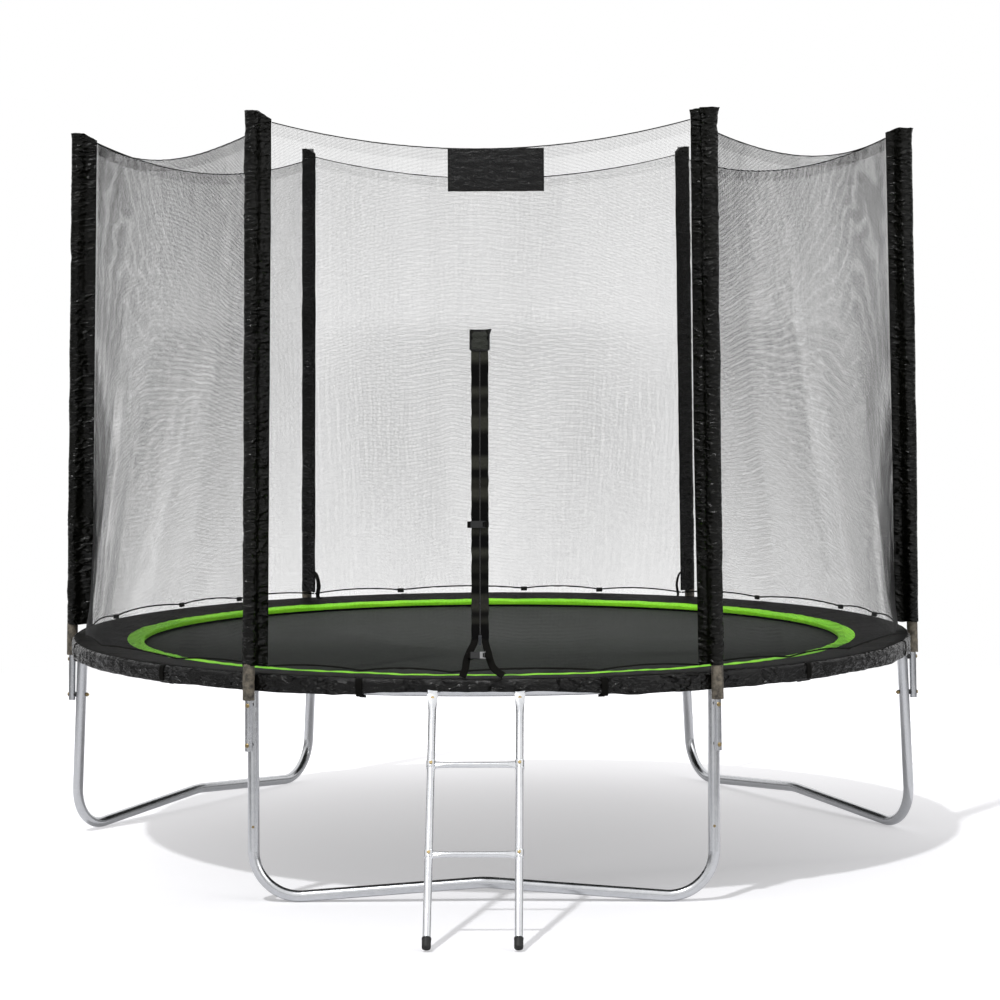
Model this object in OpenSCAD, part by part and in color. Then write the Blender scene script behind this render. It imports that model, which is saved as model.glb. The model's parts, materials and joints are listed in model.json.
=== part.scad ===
// Round garden trampoline with six net poles, a sprung mat, a spring pad and a hook-on ladder.
// Millimetres. The origin is on the ground under the middle of the mat, +Z is up,
// and the entrance and the ladder are on the -Y side.

/* [Ring] */
// Radius of the ring tube's centreline
ring_r = 1506; // [1400:1:1650]
// Outer diameter of the ring and leg tube
rail_d = 38; // [34:0.5:42]
// Wall of the ring and leg tube
rail_wall = 1.5; // [1.2:0.1:2]
// Height of the ring tube's centreline above the ground
rail_z = 713; // [660:1:800]
// Length of the narrowed neck on each tube end
neck_len = 60; // [45:1:70]
// Length of the step where a tube narrows to its neck
shoulder_len = 6; // [4:0.5:10]
// Gap all round between a neck and the tube it goes into
neck_fit = 0.3; // [0.2:0.05:0.5]

/* [Legs] */
// Outward lean of the leg frames, in degrees
leg_lean = 3.5; // [1:0.5:6]
// Length of the sockets welded under the ring
socket_len = 92; // [85:1:110]
// Height of the joint between a leg post and its base
leg_joint_z = 222; // [205:1:260]
// Bend radius at the corners of a leg base
corner_r = 150; // [120:1:155]
// Rise of the base bar towards its middle, in degrees
bar_rise = 4.3; // [2:0.1:6]
// Bend radius in the middle of the base bar
middle_r = 400; // [200:10:800]
// Diameter of the tube screws
screw_d = 4.8; // [4:0.1:6]
// Diameter of a tube screw's head
screw_head_d = 9; // [8:0.1:11]
// Distance from a tube joint to its screw
screw_inset = 25; // [15:1:35]

/* [Poles] */
// Outer diameter of the net poles
pole_d = 25; // [22:0.5:28]
// Wall of the net poles
pole_wall = 1.2; // [1:0.1:1.5]
// Gap between a leg post and its pole, halfway between the bolts
pole_gap = 6.5; // [6:0.1:9]
// Turn of a pole's place from its leg frame's outward side, in degrees
pole_turn = 17; // [10:1:25]
// Height of the poles' lower ends
pole_foot_z = 497; // [470:1:505]
// Height of the joint between lower and upper pole
pole_joint_z = 1560; // [1300:1:1800]
// Height of the poles' upper ends
pole_top_z = 2575; // [2400:1:2700]
// How far inside the ring's centreline the pole tops stand
pole_top_inset = 6; // [0:1:30]
// Height of the lower pole bolts
bolt_low_z = 517; // [515:1:530]
// Height of the upper pole bolts
bolt_high_z = 648; // [600:1:650]
// Diameter of the pole bolts
bolt_d = 8; // [6:0.5:9]
// Gap all round between a bolt and its hole
bolt_fit = 0.3; // [0.2:0.05:0.4]
// Diameter of the bolt heads
bolt_head_d = 14; // [13:0.5:16]
// Diameter of the plastic spacers between post and pole
spacer_d = 18; // [14:0.5:20]
// Thickness of the pole end caps
cap_t = 2.5; // [2:0.1:4]
// Depth of a cap's plug inside its pole
cap_plug = 20; // [10:1:30]

/* [Foam and sleeves] */
// Wall of the foam tubes
foam_wall = 5.7; // [4:0.1:6]
// Height of the foam tubes' lower ends
foam_foot_z = 665; // [662:1:690]
// Gap all round between layers on a pole
layer_fit = 0.3; // [0.2:0.05:0.4]
// Wall of the net sleeves
sleeve_wall = 1.2; // [0.8:0.1:1.5]
// Height of the sleeves' lower ends
sleeve_foot_z = 777; // [770:1:800]
// Width of the flat flap that joins a sleeve to the net
flap_w = 50; // [30:1:70]
// Thickness of the flap
flap_t = 3; // [2:0.1:4]

/* [Net] */
// Thickness of the net cloth
net_t = 1.2; // [0.8:0.1:1.6]
// Thickness of the net hems
hem_t = 2.4; // [1.6:0.1:3]
// Height of the top hem
top_hem_h = 12; // [8:1:20]
// Height of the bottom hem
foot_hem_h = 15; // [8:1:20]
// Height of the net's bottom edge
net_foot_z = 768; // [762:1:780]
// Height of the net's top edge at the poles
net_top_z = 2545; // [2300:1:2570]
// Sag of the top edge between two poles
net_sag = 90; // [20:1:120]
// How far inside the ring's centreline the bottom edge lies
net_foot_inset = 9; // [5:1:20]
// Bulge of a panel beyond the straight line between poles, at the foot of the zip
waist_bulge = 175; // [120:1:190]
// Bulge of a panel at the head of the zip
shoulder_bulge = 19; // [10:1:30]
// Bulge of a panel at its top edge
crown_bulge = 3; // [1:0.5:8]

/* [Mat and springs] */
// Thickness of the mat
mat_t = 2; // [1.5:0.1:3]
// Width of the webbing sewn round the mat's edge
edge_w = 36; // [25:1:37]
// Thickness of the edge webbing
edge_t = 1.6; // [1:0.1:2.5]
// Springs on each sixth of the ring
springs_per_rail = 9; // [5:2:11]
// Outer diameter of the spring coils
spring_d = 18; // [14:0.5:19]
// Length of the coiled part of a spring
spring_body = 118; // [90:1:140]
// Diameter of the spring wire
spring_wire = 3.2; // [2.5:0.1:3.6]
// Length of the straight wire at each end of a spring
spring_neck = 10; // [8:0.5:14]
// Height of the bent tip inside the ring
spring_tip = 8; // [6:0.5:10]
// Diameter of the spring holes in the ring
spring_hole_d = 8; // [7:0.1:10]
// Thickness of the V-ring bar
v_bar = 4; // [3:0.1:5]
// Depth of a V-ring from bar to bar
v_depth = 36; // [25:1:45]
// Width of a V-ring at the mat
v_wide = 44; // [38:1:50]
// Width of a V-ring at the spring
v_narrow = 18; // [15:1:24]
// Width of the webbing loops
loop_w = 30; // [20:1:30]
// Thickness of the webbing loops
loop_t = 1.5; // [1:0.1:2]
// Length of a loop's sewn tail under the mat
loop_tail = 30; // [15:1:50]
// Clearance between seated pieces
seat_fit = 0.3; // [0.2:0.05:0.4]

/* [Spring pad] */
// Distance from the ring's centreline to the pad's inner edge
pad_reach = 235; // [200:1:250]
// Thickness of the pad over the ring
pad_t = 20; // [15:0.5:28]
// Thickness of the pad at its inner edge
pad_inner_t = 13; // [8:0.5:18]
// Width of the coloured band on the inner edge
band_w = 59; // [30:1:80]
// Thickness of the band
band_t = 1.2; // [0.8:0.1:2]
// Thickness of the skirt
skirt_t = 1.2; // [0.8:0.1:1.2]
// Depth of the skirt below the ring's centreline
skirt_drop = 21; // [5:0.5:40]
// Height of the lifted skirt at the ladder above the ring's centreline
skirt_lift = 1; // [0:0.5:8]
// Width of the lifted part of the skirt
lift_w = 740; // [500:10:900]
// Width of the slots in the skirt for the leg sockets
slot_w = 46; // [44:1:60]
// Width of the tie straps
tie_w = 22; // [15:1:30]
// Thickness of the tie straps
tie_t = 1.5; // [1:0.1:2]

/* [Entrance] */
// Width of the zip strip
zip_w = 55; // [40:1:70]
// Thickness of the zip strip
zip_t = 1.6; // [1:0.1:2]
// Sideways place of the zip
zip_x = -5; // [-20:1:20]
// Height of the zip's lower end
zip_foot_z = 870; // [850:1:900]
// Height of the zip's upper end
zip_head_z = 1866; // [1700:1:1900]
// Width of the zip coil
coil_w = 5; // [4:0.1:6]
// Thickness of the zip coil
coil_t = 1.5; // [1:0.1:2]
// Length of the zip slider
slider_l = 16; // [12:0.5:20]
// Width of the zip slider
slider_w = 11; // [9:0.5:14]
// Thickness of the slider's front plate
slider_t = 2; // [1.5:0.1:3]
// Length of the zip pull
pull_l = 28; // [20:1:36]
// Width of the zip pull
pull_w = 8; // [6:0.5:10]
// Height of the upper buckle
buckle_high_z = 1237; // [1150:1:1400]
// Height of the lower buckle
buckle_low_z = 818; // [800:1:840]
// Length of a buckle socket
socket_l = 30; // [24:1:36]
// Height of a buckle socket
socket_h = 22; // [18:1:28]
// Thickness of a buckle socket
socket_t = 9; // [8:0.5:11]
// Wall of a buckle socket
socket_wall = 1.6; // [1.2:0.1:2]
// Length of a buckle plug outside its socket
plug_l = 18; // [14:1:24]
// Length of a buckle plug's tongue
tongue_l = 22; // [16:0.5:22]
// Distance from the zip strip to the buckles
buckle_standoff = 15; // [14:0.5:18]
// Width of the straps at the foot of the zip
leg_strap_w = 14; // [10:1:20]
// Thickness of the foot straps
leg_strap_t = 1.6; // [1:0.1:2]
// Spread of the foot straps, in degrees
leg_strap_spread = 22; // [15:1:30]
// Length of the foot straps
leg_strap_l = 100; // [60:1:104]
// Height of the patch at the head of the zip
patch_h = 72; // [40:1:90]
// Width of the patch at the head of the zip
patch_w = 66; // [60:1:80]
// Width of the plain label patch
label_w = 313; // [200:1:340]
// Height of the plain label patch
label_h = 140; // [100:1:160]
// Sideways place of the label patch's middle
label_x = 50; // [0:1:60]

/* [Ladder] */
// Outer diameter of the ladder tube
ladder_d = 25; // [22:0.5:28]
// Wall of the ladder tube
ladder_wall = 1.2; // [1:0.1:1.5]
// Distance between the ladder tubes' centrelines
ladder_w = 279; // [250:1:300]
// Sideways place of the ladder's middle
ladder_x = -16; // [-30:0.5:0]
// Lean of the ladder from upright, in degrees
ladder_lean = 41.7; // [30:0.1:45]
// Outer diameter of the rungs
rung_d = 18; // [16:0.5:22]
// Distance from the ring down to the upper rung, along the ladder
rung_high = 298; // [250:1:320]
// Distance from the ring down to the lower rung, along the ladder
rung_low = 627; // [560:1:680]
// Height of the collars on the rungs
collar_h = 26; // [22:1:32]
// Wall of the collars
collar_wall = 2; // [1.5:0.1:3]
// Width of the ladder hooks
hook_w = 34; // [28:1:36]
// Thickness of the ladder hooks
hook_t = 2.5; // [2:0.1:3]
// Length of the hook plates below the ring's centreline
hook_plate = 62; // [55:1:75]
// Angle of the hook's bend over the ring, in degrees
hook_wrap = 175; // [150:1:178]
// Thickness of the flattened tube ends
flat_t = 5; // [4:0.1:6]
// Length of the flattened tube ends
flat_l = 40; // [34:1:50]
// Diameter of the ladder bolts
ladder_bolt_d = 6; // [5:0.5:7]
// Length of the rubber feet
foot_l = 36; // [28:1:45]
// Wall of the rubber feet
foot_wall = 1.5; // [1.2:0.1:2.5]
// Thickness of the rubber feet under the tube
foot_base = 4; // [3:0.5:6]

/* [Hidden] */
$fn = 48;
ring_fn = 180;
eps = 1;
bend_lap = 3;
bend_thin = 0.15;

steel = "silver";
cloth_black = [0.07, 0.07, 0.07];
mat_grey = [0.2, 0.21, 0.2];
zinc_yellow = [0.8, 0.7, 0.4];

// Ring, legs and poles stand in sixths
sixth = 60;
rail_r = rail_d / 2;
rail_bore = rail_r - rail_wall;
pole_r = pole_d / 2;
screw_r = screw_d / 2;
screw_hole_r = screw_r + bolt_fit;
bolt_r = bolt_d / 2;
bolt_hole_r = bolt_r + bolt_fit;
half_ring = ring_r * sin(sixth / 2);
ring_flat = ring_r * cos(sixth / 2);
neck_turn = neck_len / ring_r * 180 / PI;
shoulder_turn = shoulder_len / ring_r * 180 / PI;
leg_len = (rail_z - leg_joint_z) / cos(leg_lean);

// Net poles
bolt_mid_z = (bolt_low_z + bolt_high_z) / 2;
pole_reach = rail_r + pole_gap + pole_r;
pole_mid_r = norm(pole_mid(0));
pole_top_r = ring_r - pole_top_inset;
pole_lean = atan((pole_mid_r - pole_top_r) / (pole_top_z - bolt_mid_z));
foam_bore = pole_r + layer_fit;
foam_r = foam_bore + foam_wall;
sleeve_bore = foam_r + layer_fit;
sleeve_r = sleeve_bore + sleeve_wall;
sleeve_top_z = pole_top_z + cap_t + layer_fit + sleeve_wall;
flap_end = sleeve_r + flap_w;
seam_inset = flap_end + hem_t / 2 + layer_fit;
seam_trim = 1.5;
net_steps = 12;

// Mat and springs, from the ring inwards
wire_r = spring_wire / 2;
coil_out_r = ring_r - rail_r - spring_neck;
coil_in_r = coil_out_r - spring_body;
eye_r = wire_r + v_bar * 0.75 + 0.4;
eye_c = coil_in_r - spring_neck / 2 - eye_r;
eye_hole = eye_r - wire_r;
v_top = eye_c - sqrt(pow(eye_hole, 2) - pow(v_bar / 2, 2)) + v_bar / 2 + seat_fit;
v_foot = v_top - v_depth;
mat_r = v_foot - v_bar / 2 - 2 * seat_fit - loop_t;
tip_r = ring_r - sqrt(pow(rail_bore, 2) - pow(spring_tip, 2)) + wire_r + seat_fit;
spring_count = 6 * springs_per_rail;
spring_step = 360 / spring_count;

// Spring pad
rail_top = rail_z + rail_r;
pad_in_r = ring_r - pad_reach;
pad_out_r = ring_r + rail_r + seat_fit + skirt_t;
pad_top = rail_top + seat_fit + pad_t;
pad_inner_foot = rail_z + spring_d / 2 + 1.5;
pad_inner_top = pad_inner_foot + pad_inner_t;
pad_flat_r = ring_r - rail_r;
pad_slope = (pad_top - pad_inner_top) / (pad_flat_r - pad_in_r);
tie_r = pad_out_r + seat_fit;
tie_turn = 15;

// Entrance
zip_in = net_t / 2 + seat_fit;
zip_face = zip_in + zip_t;
zip_lean = atan((mid_r(zip_foot_z) - mid_r(zip_head_z)) / (zip_head_z - zip_foot_z));
zip_len = (zip_head_z - zip_foot_z) / cos(zip_lean);
apron_lean = atan((mid_r(net_foot_z) - mid_r(zip_foot_z)) / (zip_foot_z - net_foot_z));
strap_in = hem_t / 2 + seat_fit;
strap_face = strap_in + leg_strap_t;
coil_face = zip_face + coil_t;
slider_face = coil_face + seat_fit + slider_t;
pull_pin_r = 1;
pull_eye_r = pull_pin_r + seat_fit;
pull_t = 2 * pull_eye_r + 1.6;
pull_axis = slider_face + pull_eye_r + 1.2;

// Ladder, measured from the hinge line in the ring tube
ladder_r = ladder_d / 2;
ladder_left = ladder_x - ladder_w / 2;
ladder_right = ladder_x + ladder_w / 2;
hinge_y = -(rail_y(ladder_left) + rail_y(ladder_right)) / 2;
hook_skew = hook_w / 2 * max(abs(ladder_left), abs(ladder_right)) / ring_r;
hook_bore = rail_r + abs(rail_y(ladder_left) - rail_y(ladder_right)) / 2 + hook_skew + 2 * seat_fit;
hook_r = hook_bore + hook_t;
hook_sweep = 6;
ladder_out = hook_bore - seat_fit - flat_t / 2;
ladder_top = rail_r + 10;
ladder_bolt_r = ladder_bolt_d / 2;
hook_bolt_z = (ladder_top + hook_plate) / 2 + 1;
foot_r = ladder_r + seat_fit + foot_wall;
floor_gap = seat_fit;
ladder_len = (rail_z + ladder_out * sin(ladder_lean) - foot_r * sin(ladder_lean) - floor_gap)
    / cos(ladder_lean);

// ---------- Places ----------

// Height in y of the ring's centreline over a place x, taken as positive
function rail_y(x) = sqrt(pow(ring_r, 2) - pow(x, 2));

// Unit vector in plan at angle a
function way(a) = [cos(a), sin(a)];

// Outward side of the leg frame that post i belongs to
function frame_turn(i) = sixth * i + (i % 2 == 0 ? sixth / 2 : -sixth / 2);

// Plan place of the pole axis halfway between its bolts
function pole_mid(i) =
    let (side = i % 2 == 0 ? -1 : 1)
    ring_r * way(sixth * i)
    + (rail_z - bolt_mid_z) * tan(leg_lean) * way(frame_turn(i))
    + pole_reach * way(frame_turn(i) + side * pole_turn);

// Plan angle of pole i
function pole_turn_of(i) = atan2(pole_mid(i).y, pole_mid(i).x);

// Distance of a pole's axis from the middle at height z
function pole_r_at(z) = pole_mid_r - (z - bolt_mid_z) * tan(pole_lean);

// Plan place of the pole axis at height z
function pole_at(i, z) = pole_r_at(z) * way(pole_turn_of(i));

// Plan place of the leg post's axis at height z
function post_at(i, z) = ring_r * way(sixth * i) + (rail_z - z) * tan(leg_lean) * way(frame_turn(i));

// Plan place of the seam between pole i's flap and the net
function seam_at(i, z) = (pole_r_at(z) - seam_inset) * way(pole_turn_of(i));

// Distance of the straight line between two seams from the middle
function chord_r(z) = (seam_at(4, z) + seam_at(5, z)).y / -2;

// How far the front panel stands beyond that line in its middle
function bulge(z) = lookup(z, [
    [net_foot_z, ring_r - net_foot_inset - chord_r(net_foot_z)],
    [zip_foot_z, waist_bulge],
    [zip_head_z, shoulder_bulge],
    [net_top_z, crown_bulge],
]);

// Distance of a panel's middle line from the trampoline's middle
function mid_r(z) = chord_r(z) + bulge(z);

// Puts the children's +Z up the axis of pole i, with +X towards the middle
module at_pole(i, z) {
    translate([pole_at(i, z).x, pole_at(i, z).y, z])
        rotate([0, 0, pole_turn_of(i) + 180])
            rotate([0, pole_lean, 0])
                children();
}

// Puts the children's origin on the ring over post i, with +Z up the leg
module at_post(i) {
    translate([ring_r * cos(sixth * i), ring_r * sin(sixth * i), rail_z])
        rotate([0, 0, frame_turn(i)])
            rotate([0, -leg_lean, 0])
                children();
}

// Puts the children's XY plane in the plane of a leg frame, X along the bar and Y up
module at_frame(turn) {
    rotate([0, 0, turn])
        translate([ring_flat, 0, rail_z])
            rotate([0, -leg_lean, 0])
                rotate([90, 0, 90])
                    children();
}

// Puts the children's +Z along a pole bolt, from the post's axis to the pole's axis
module at_bolt(i, z) {
    reach = pole_at(i, z) - post_at(i, z);
    translate([post_at(i, z).x, post_at(i, z).y, z])
        rotate([0, 90, atan2(reach.y, reach.x)])
            children();
}

// Puts the children on the zip's lower end, with +Z up the zip and -Y outwards
module at_zip() {
    translate([zip_x, -mid_r(zip_foot_z), zip_foot_z])
        rotate([-zip_lean, 0, 0])
            children();
}

// Puts the children on the zip's lower end, with -Z down the net below the zip and -Y outwards
module at_apron() {
    translate([zip_x, -mid_r(zip_foot_z), zip_foot_z])
        rotate([-apron_lean, 0, 0])
            children();
}

// Puts the children at height z on the outer face of the strip, or of the foot straps below it
module at_strip(z) {
    if (z < zip_foot_z)
        at_apron()
            translate([0, -strap_face, (z - zip_foot_z) / cos(apron_lean)])
                children();
    else
        at_zip()
            translate([0, -zip_face, (z - zip_foot_z) / cos(zip_lean)])
                children();
}

// Puts the children on the ladder's hinge line, with -Z down the ladder and -Y outwards
module at_ladder() {
    translate([0, hinge_y, rail_z])
        rotate([-ladder_lean, 0, 0])
            children();
}

// ---------- Tubes ----------

// Radius of the neck of a tube
function neck_r(r, wall) = r - wall - neck_fit;

// Straight tube up +Z with a narrowed neck on its upper end
module necked_tube(len, r, wall) {
    difference() {
        union() {
            cylinder(h = len, r = r);
            cylinder(h = len + neck_len, r = neck_r(r, wall));
        }
        translate([0, 0, -eps])
            cylinder(h = len - shoulder_len + eps, r = r - wall);
        translate([0, 0, -eps])
            cylinder(h = len + neck_len + 2 * eps, r = neck_r(r, wall) - wall);
    }
}

// Arc of round bar on the ring's centreline
module ring_arc(from, turn, r) {
    rotate([0, 0, from])
        rotate_extrude(angle = turn, $fn = ring_fn)
            translate([ring_r, 0])
                circle(r = r, $fn = 48);
}

// Radial hole or bar of radius r through the tube wall on the +X side
module wall_pin(r, from, to) {
    translate([from, 0, 0])
        rotate([0, 90, 0])
            cylinder(h = to - from, r = r, $fn = 24);
}

// One sixth of the ring, with its leg socket, spring holes and neck
module rail(i) {
    mid = sixth * i;
    end = mid + sixth / 2;
    slim = neck_r(rail_r, rail_wall);
    color(steel)
        difference() {
            union() {
                translate([0, 0, rail_z]) {
                    ring_arc(mid - sixth / 2, sixth, rail_r);
                    ring_arc(end - shoulder_turn / 2, neck_turn + shoulder_turn / 2, slim);
                }
                at_post(i)
                    translate([0, 0, -socket_len])
                        cylinder(h = socket_len, r = rail_r);
            }
            translate([0, 0, rail_z]) {
                ring_arc(mid - sixth / 2 - 1, sixth + 1 - shoulder_turn, rail_bore);
                ring_arc(end - 2 * shoulder_turn, neck_turn + 3 * shoulder_turn, slim - rail_wall);
            }
            at_post(i)
                translate([0, 0, -socket_len - eps])
                    cylinder(h = neck_len + 5 + eps, r = rail_bore);
            at_bolt(i, bolt_high_z)
                bolt_hole(rail_d);
            for (s = [0:springs_per_rail - 1])
                rotate([0, 0, mid - sixth / 2 + (s + 0.5) * spring_step])
                    translate([0, 0, rail_z])
                        wall_pin(spring_hole_d / 2, ring_r - rail_r - eps, ring_r - rail_r / 2);
        }
}

// ---------- Legs ----------

// Upright of a leg frame, its neck in the ring's socket
module leg_post(i) {
    color(steel)
        difference() {
            at_post(i)
                translate([0, 0, -leg_len])
                    necked_tube(leg_len - socket_len, rail_r, rail_wall);
            at_post(i)
                translate([0, 0, screw_inset - leg_len])
                    wall_pin(screw_hole_r, 0, rail_r + eps);
            for (z = [bolt_low_z, bolt_high_z])
                at_bolt(i, z)
                    bolt_hole(rail_d);
        }
}

// Round bar in the XY plane from a place, along an angle, running a little into its neighbours
module bar_run(x, y, turn, len, r) {
    translate([x, y, 0])
        rotate([0, 90, turn])
            translate([0, 0, -bend_lap])
                cylinder(h = len + 2 * bend_lap, r = r);
}

// Bent bar in the XY plane; a bend draws the tube a little thinner
module bar_bend(x, y, from, turn, bend, r) {
    translate([x, y, 0])
        rotate([0, 0, from])
            rotate_extrude(angle = turn, $fn = ring_fn)
                translate([bend, 0])
                    circle(r = r - bend_thin, $fn = 48);
}

// Full run of a leg base as round bar: uprights, corners, rising bars and the middle bend
module base_run(r) {
    low = -(rail_z - rail_r + bend_thin) / cos(leg_lean);
    corner_x = half_ring - corner_r;
    corner_y = low + corner_r;
    bar_x = corner_x - corner_r * sin(bar_rise);
    bar_y = corner_y - corner_r * cos(bar_rise);
    bar_len = (bar_x - middle_r * sin(bar_rise)) / cos(bar_rise);
    middle_y = bar_y + bar_len * sin(bar_rise) - middle_r * cos(bar_rise);
    both_sides() {
        translate([half_ring, corner_y - bend_lap, 0])
            rotate([-90, 0, 0])
                cylinder(h = -leg_len - corner_y + bend_lap, r = r);
        bar_bend(corner_x, corner_y, -90 - bar_rise, 90 + bar_rise, corner_r, r);
        bar_run(bar_x, bar_y, 180 - bar_rise, bar_len, r);
    }
    bar_bend(0, middle_y, 90 - bar_rise, 2 * bar_rise, middle_r, r);
}

// Round bar up the upright of a leg base, from below the joint to above it
module base_neck(r, down, up) {
    translate([half_ring, -leg_len - down, 0])
        rotate([-90, 0, 0])
            cylinder(h = down + up, r = r);
}

// The children on both sides of the leg frame's middle
module both_sides() {
    children();
    mirror([1, 0, 0]) children();
}

// U-shaped base of a leg frame, with a neck at the top of each upright
module leg_base(turn) {
    slim = neck_r(rail_r, rail_wall);
    color(steel)
        at_frame(turn)
            difference() {
                union() {
                    base_run(rail_r);
                    both_sides() base_neck(slim, 2 * shoulder_len, neck_len);
                }
                difference() {
                    base_run(rail_bore);
                    both_sides() base_neck(rail_r, shoulder_len, eps);
                }
                both_sides() {
                    base_neck(slim - rail_wall, 2 * shoulder_len, neck_len + eps);
                    translate([half_ring, screw_inset - leg_len, 0])
                        rotate([0, -90, 0])
                            wall_pin(screw_hole_r, 0, rail_r);
                }
            }
}

// Screws with flat round heads that lock the leg posts on the bases, on their outward side
module leg_screws() {
    color(zinc_yellow)
        for (i = [0:5])
            at_post(i)
                translate([0, 0, screw_inset - leg_len]) {
                    wall_pin(screw_r, rail_r - 2 * rail_wall - 4, rail_r + screw_r);
                    wall_pin(screw_head_d / 2, rail_r + 0.05, rail_r + 2.5);
                }
}

// ---------- Poles ----------

// Bolt hole through one tube, from its centre both ways
module bolt_hole(reach) {
    translate([0, 0, -reach])
        cylinder(h = 2 * reach, r = bolt_hole_r);
}

// Lower half of a net pole, its neck in the upper half
module pole_lower(i) {
    len = (pole_joint_z - pole_foot_z) / cos(pole_lean);
    color(steel)
        difference() {
            at_pole(i, pole_foot_z)
                necked_tube(len, pole_r, pole_wall);
            for (z = [bolt_low_z, bolt_high_z])
                at_bolt(i, z)
                    translate([0, 0, norm(pole_at(i, z) - post_at(i, z))])
                        bolt_hole(pole_d);
        }
}

// Upper half of a net pole
module pole_upper(i) {
    len = (pole_top_z - pole_joint_z) / cos(pole_lean);
    color(steel)
        at_pole(i, pole_joint_z)
            difference() {
                cylinder(h = len, r = pole_r);
                translate([0, 0, -eps])
                    cylinder(h = len + 2 * eps, r = pole_r - pole_wall);
            }
}

// Plastic saddle between a post and a pole at one bolt
module pole_spacer(i, z) {
    reach = norm(pole_at(i, z) - post_at(i, z));
    difference() {
        at_bolt(i, z)
            cylinder(h = reach, r = spacer_d / 2);
        at_post(i)
            translate([0, 0, -leg_len])
                cylinder(h = leg_len, r = rail_r + layer_fit / 2);
        at_pole(i, pole_foot_z)
            cylinder(h = pole_top_z - pole_foot_z, r = pole_r + layer_fit / 2);
        at_bolt(i, z)
            bolt_hole(2 * reach);
    }
}

// The twelve spacers
module pole_spacers() {
    color(cloth_black)
        for (i = [0:5], z = [bolt_low_z, bolt_high_z])
            pole_spacer(i, z);
}

// Bolt with a domed head outside the pole and a nut inside the post
module pole_bolt(reach) {
    head_z = reach + pole_r + 0.1;
    nut_h = bolt_d * 0.8;
    nut_z = -rail_r - 0.6 - nut_h;
    translate([0, 0, nut_z - bolt_d / 2])
        cylinder(h = head_z - nut_z + bolt_d / 2 + 1, r = bolt_r);
    translate([0, 0, head_z])
        cylinder(h = 2, r = bolt_head_d / 2);
    translate([0, 0, head_z + 2])
        cylinder(h = 2, r1 = bolt_head_d / 2, r2 = bolt_head_d / 3);
    translate([0, 0, nut_z])
        difference() {
            cylinder(h = nut_h, r = bolt_d * 0.94, $fn = 6);
            translate([0, 0, -eps])
                cylinder(h = nut_h + 2 * eps, r = bolt_r + 0.05);
        }
}

// The twelve bolts and their nuts
module pole_bolts() {
    color(zinc_yellow)
        for (i = [0:5], z = [bolt_low_z, bolt_high_z])
            at_bolt(i, z)
                pole_bolt(norm(pole_at(i, z) - post_at(i, z)));
}

// Plastic caps in the upper ends of the poles
module pole_caps() {
    color(cloth_black)
        for (i = [0:5])
            at_pole(i, pole_top_z) {
                cylinder(h = cap_t, r = pole_r);
                translate([0, 0, -cap_plug])
                    cylinder(h = cap_plug, r = pole_r - pole_wall - layer_fit);
            }
}

// Foam tubes round the poles
module pole_foams() {
    tall = (pole_top_z - foam_foot_z) / cos(pole_lean);
    color([0.36, 0.35, 0.31])
        for (i = [0:5])
            at_pole(i, foam_foot_z)
                difference() {
                    cylinder(h = tall, r = foam_r);
                    translate([0, 0, -eps])
                        cylinder(h = tall + 2 * eps, r = foam_bore);
                }
}

// Net sleeves round the foam, closed at the top, each with its flap to the net
module pole_sleeves() {
    tall = (sleeve_top_z - sleeve_foot_z) / cos(pole_lean);
    flap_tall = (net_top_z - sleeve_foot_z) / cos(pole_lean);
    color(cloth_black)
        for (i = [0:5])
            at_pole(i, sleeve_foot_z)
                difference() {
                    union() {
                        cylinder(h = tall, r = sleeve_r);
                        translate([0, -flap_t / 2, 0])
                            cube([flap_end, flap_t, flap_tall]);
                    }
                    translate([0, 0, -eps])
                        cylinder(h = tall - sleeve_wall + eps, r = sleeve_bore);
                }
}

// ---------- Net ----------

// Height of a panel's top edge at place s, from -1 at one pole to 1 at the next
function net_edge(s) = net_top_z - net_sag * (1 - s * s);

// Point of panel j's middle surface at place s and height z
function net_point(j, s, z) =
    let (
        a = seam_at(j, z),
        b = seam_at((j + 1) % 6, z),
        out = way(sixth * (j + 0.5)),
        p = (a + b) / 2 + s * (b - a) / 2 + bulge(z) * (1 - s * s) * out
    )
    [p.x, p.y, z];

// Place s of column c of a strip, whose ends are trimmed short of the seams
function strip_place(c) = (2 * c / net_steps - 1) * (1 - 2 * seam_trim / ring_r);

// Points of one face of a strip; each row is a fixed height and a share of the top edge
function strip_face(j, rows, top, off) = [
    for (row = rows, c = [0:net_steps])
        let (
            s = strip_place(c),
            z = row[0] * (1 - row[1]) + (net_edge(s) - top) * row[1],
            out = way(sixth * (j + 0.5))
        )
        net_point(j, s, z) + off * [out.x, out.y, 0]
];

// Triangles of one face of a strip, turned over when flip is true
function face_tris(rows, first, flip) = [
    for (r = [0:rows - 2], c = [0:net_steps - 1])
        let (
            wide = net_steps + 1,
            a = first + r * wide + c,
            quad = [[a, a + 1, a + wide + 1], [a, a + wide + 1, a + wide]]
        )
        for (t = quad) flip ? [t[2], t[1], t[0]] : t
];

// Triangles that close the rim of a strip between its two faces
function rim_tris(rim, other) = [
    for (k = [0:len(rim) - 1])
        let (a = rim[k], b = rim[(k + 1) % len(rim)])
        for (t = [[b, a, a + other], [b, a + other, b + other]]) t
];

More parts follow.
